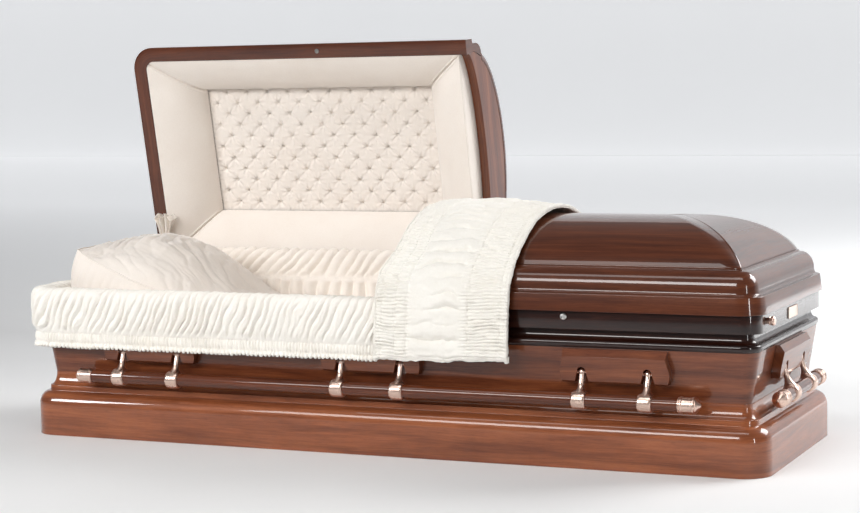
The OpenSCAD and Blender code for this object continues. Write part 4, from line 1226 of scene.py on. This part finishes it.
def tube_cap():
    """Stepped cap of the memorial tube, on the foot end."""
    lo, hi = corners("memorial_tube_cap")
    c, r, deep = (lo + hi) / 2, (hi[2] - lo[2]) / 2, hi[0] - lo[0]
    cap = lathe("memorial_tube_cap_metal", rounded(
        [(0.0, 0.0), (r - 0.0035, 0.0), (r - 0.0035, 0.005), (r - 0.0008, 0.0065),
         (r - 0.0008, 0.0085), (r - 0.002, 0.0095), (r - 0.002, 0.0115), (r, 0.0125),
         (r, deep - 0.003), (r - 0.0025, deep - 0.0005), (0.0, deep)], 0.0005), 40)
    place(moved(cap, lo[0], c[1], c[2]), "body", copper, "copper", "memorial_tube_cap")


def name_plate():
    """Bare plate with a raised border of four strips."""
    lo, hi = corners("name_plate")
    (y0, z0), (x1, y1, z1) = lo[1:], hi
    place(slab("name_plate_metal", lo, hi, 0.0007), "body", brass, "copper", "name_plate")
    wide = 0.002
    strips = ((y0, z0, y1, z0 + wide), (y0, z1 - wide, y1, z1), (y0, z0, y0 + wide, z1),
              (y1 - wide, z0, y1, z1))
    for k, (a, b, c, d) in enumerate(strips, 1):
        strip = slab(f"name_plate_edge_{k}", (x1 - 0.001, a, b), (x1 + 0.0006, c, d), 0.0004)
        place(strip, "body", copper, "copper")


def latch_strike():
    """The strike on the head lid's rim, built where it lies with the lid closed."""
    strike = lathe("latch_strike_metal", [(0.0, 0.0), (0.0066, 0.0), (0.007, -0.001),
                                          (0.0064, -0.0021), (0.004, -0.0024), (0.0034, -0.001),
                                          (0.0, -0.0008)], 32)
    lo, hi = corners("latch_strike")
    closed = OPEN_LID.inverted() @ Vector((lo + hi) / 2)
    turned(strike, Matrix.Rotation(-pi / 2, 4, "Y"))
    turned(moved(strike, closed.x, closed.y, LID_Z + 0.0002), OPEN_LID)
    place(strike, "head_lid", dark_nickel, "nickel", "latch_strike")


def hinge_details():
    """Piano hinge with screws, its rail and the bottom board."""
    for ob in bpy.data.objects:
        if ob.get("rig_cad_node") in ("body_hinge_leaf", "head_hinge_leaf", "foot_hinge_leaf"):
            ob.data.materials.clear()
            ob.data.materials.append(hinge_metal)
    for node in ("hinge_rail", "bottom_board"):
        place(slab(node + "_wood", *corners(node), 0.0012), "body", mahogany, "wood", node)
    lo, hi = corners("body_hinge_leaf")
    dome = [(0.0, 0.0013), (0.0016, 0.0011), (0.0026, 0.0006), (0.0032, 0.0), (0.0032, -0.0004)]
    screws = []
    for x in np.arange(lo[0] + 0.03, hi[0], 0.0715):
        at = Matrix.Translation((x, lo[1] + LEAF_T, lo[2] + 0.01))
        screws.append(turned(lathe("screw", dome, 14), at @ Matrix.Rotation(pi / 2, 4, "Z")))
    place(join("hinge_screws_metal", screws), "body", nickel, "nickel")


# ----------------------------------------------------- camera and lights ----

CAMERA_AT = (2.327, -5.147, 0.999)
YAW, PITCH, ROLL = radians(24.08), radians(5.15), radians(-1.12)


def camera():
    forward = Vector((-sin(YAW) * cos(PITCH), cos(YAW) * cos(PITCH), -sin(PITCH)))
    level = Vector((cos(YAW), sin(YAW), 0))
    up = level.cross(forward)
    right = level * cos(ROLL) + up * sin(ROLL)
    up = up * cos(ROLL) - level * sin(ROLL)
    data = bpy.data.cameras.new("camera")
    data.sensor_width, data.lens, data.clip_end = 36, 86.32, 60
    cam = link("camera", data)
    turn = Matrix((right, up, -forward)).transposed().to_4x4()
    cam.matrix_world = Matrix.Translation(CAMERA_AT) @ turn
    bpy.context.scene.camera = cam


def softbox(name, at, aim, size, power, colour, spread):
    """A rectangular light at a place, aimed at a point; spread in degrees."""
    data = bpy.data.lights.new(name, "AREA")
    data.shape, data.size, data.size_y = "RECTANGLE", *size
    data.energy, data.color, data.spread = power, colour, radians(spread)
    ob = link(name, data)
    ob.location = at
    ob.rotation_euler = (Vector(aim) - Vector(at)).to_track_quat("-Z", "Y").to_euler()


def studio():
    """Dim pale surroundings, five softboxes, and a floor that sweeps up into a backdrop."""
    world = bpy.data.worlds.new("studio")
    world.use_nodes = True
    inputs = world.node_tree.nodes["Background"].inputs
    inputs[0].default_value, inputs[1].default_value = (0.93, 0.94, 0.96, 1), 0.15
    bpy.context.scene.world = world
    bpy.context.scene.view_settings.view_transform = "Standard"
    softbox("key", (-1.6, -6.0, 3.6), (-0.1, 0, 0.55), (4.4, 1.5), 43, (1.0, 0.985, 0.97), 75)
    softbox("top", (0.2, -2.3, 4.6), (0, 0, 0.3), (5.4, 1.1), 25, (1.0, 0.99, 0.98), 100)
    softbox("rear", (4.8, 4.4, 3.8), (3.0, 3.0, 0), (4.2, 3.6), 300, (1, 1, 1), 120)
    softbox("strip", (4.0, -2.3, 0.95), (1.0, -0.3, 0.35), (0.22, 1.7), 9, (1, 1, 1), 120)
    softbox("rim", (-4.5, -4.7, 2.75), (-0.9, 0.3, 0.8), (0.9, 1.5), 30, (0.93, 0.96, 1.0), 90)
    line = [(-40, 0), (1, 0), (17, 0)] + arc(17, 3, 3, 3, -90, 0, 16) + [(20, 12)]
    p = np.zeros((2, len(line), 3))
    p[0, :, 0], p[1, :, 0] = -45, 45
    p[:, :, 1:] = np.array(line)[None]
    floor = grid("floor", p, np.array([0, 90.0]), run_lengths(np.array(line)), smooth_angle=180)
    floor.data.materials.append(floor_paint())


def floor_paint():
    """Pale matt paint that glows softly towards the back."""
    m = Nodes("pale_floor")
    at = m.at()
    grey = m.ramp(m.noise(at, 1.2, 3), (0.3, (0.84, 0.84, 0.84)), (0.7, (0.87, 0.87, 0.87)))
    depth = m.add("ShaderNodeSeparateXYZ", {"Vector": at}).outputs["Y"]
    far = m.math("DIVIDE", m.math("SUBTRACT", depth, 1.6), 7.0, clamp=True)
    return m.surface({
        "Base Color": grey, "Roughness": 0.7, "Emission Color": (0.96, 0.975, 1.0, 1),
        "Emission Strength": m.math("MULTIPLY", m.math("POWER", far, 0.7), 0.5)})


for make in (camera, studio, body_wood, lid_wood, plaques, handles, skirt, throw, pillow, mattress,
             body_lining, back_roll, lid_lining, tufted_panel, corner_tab, lock_bolt, tube_cap,
             name_plate, latch_strike, hinge_details):
    make()
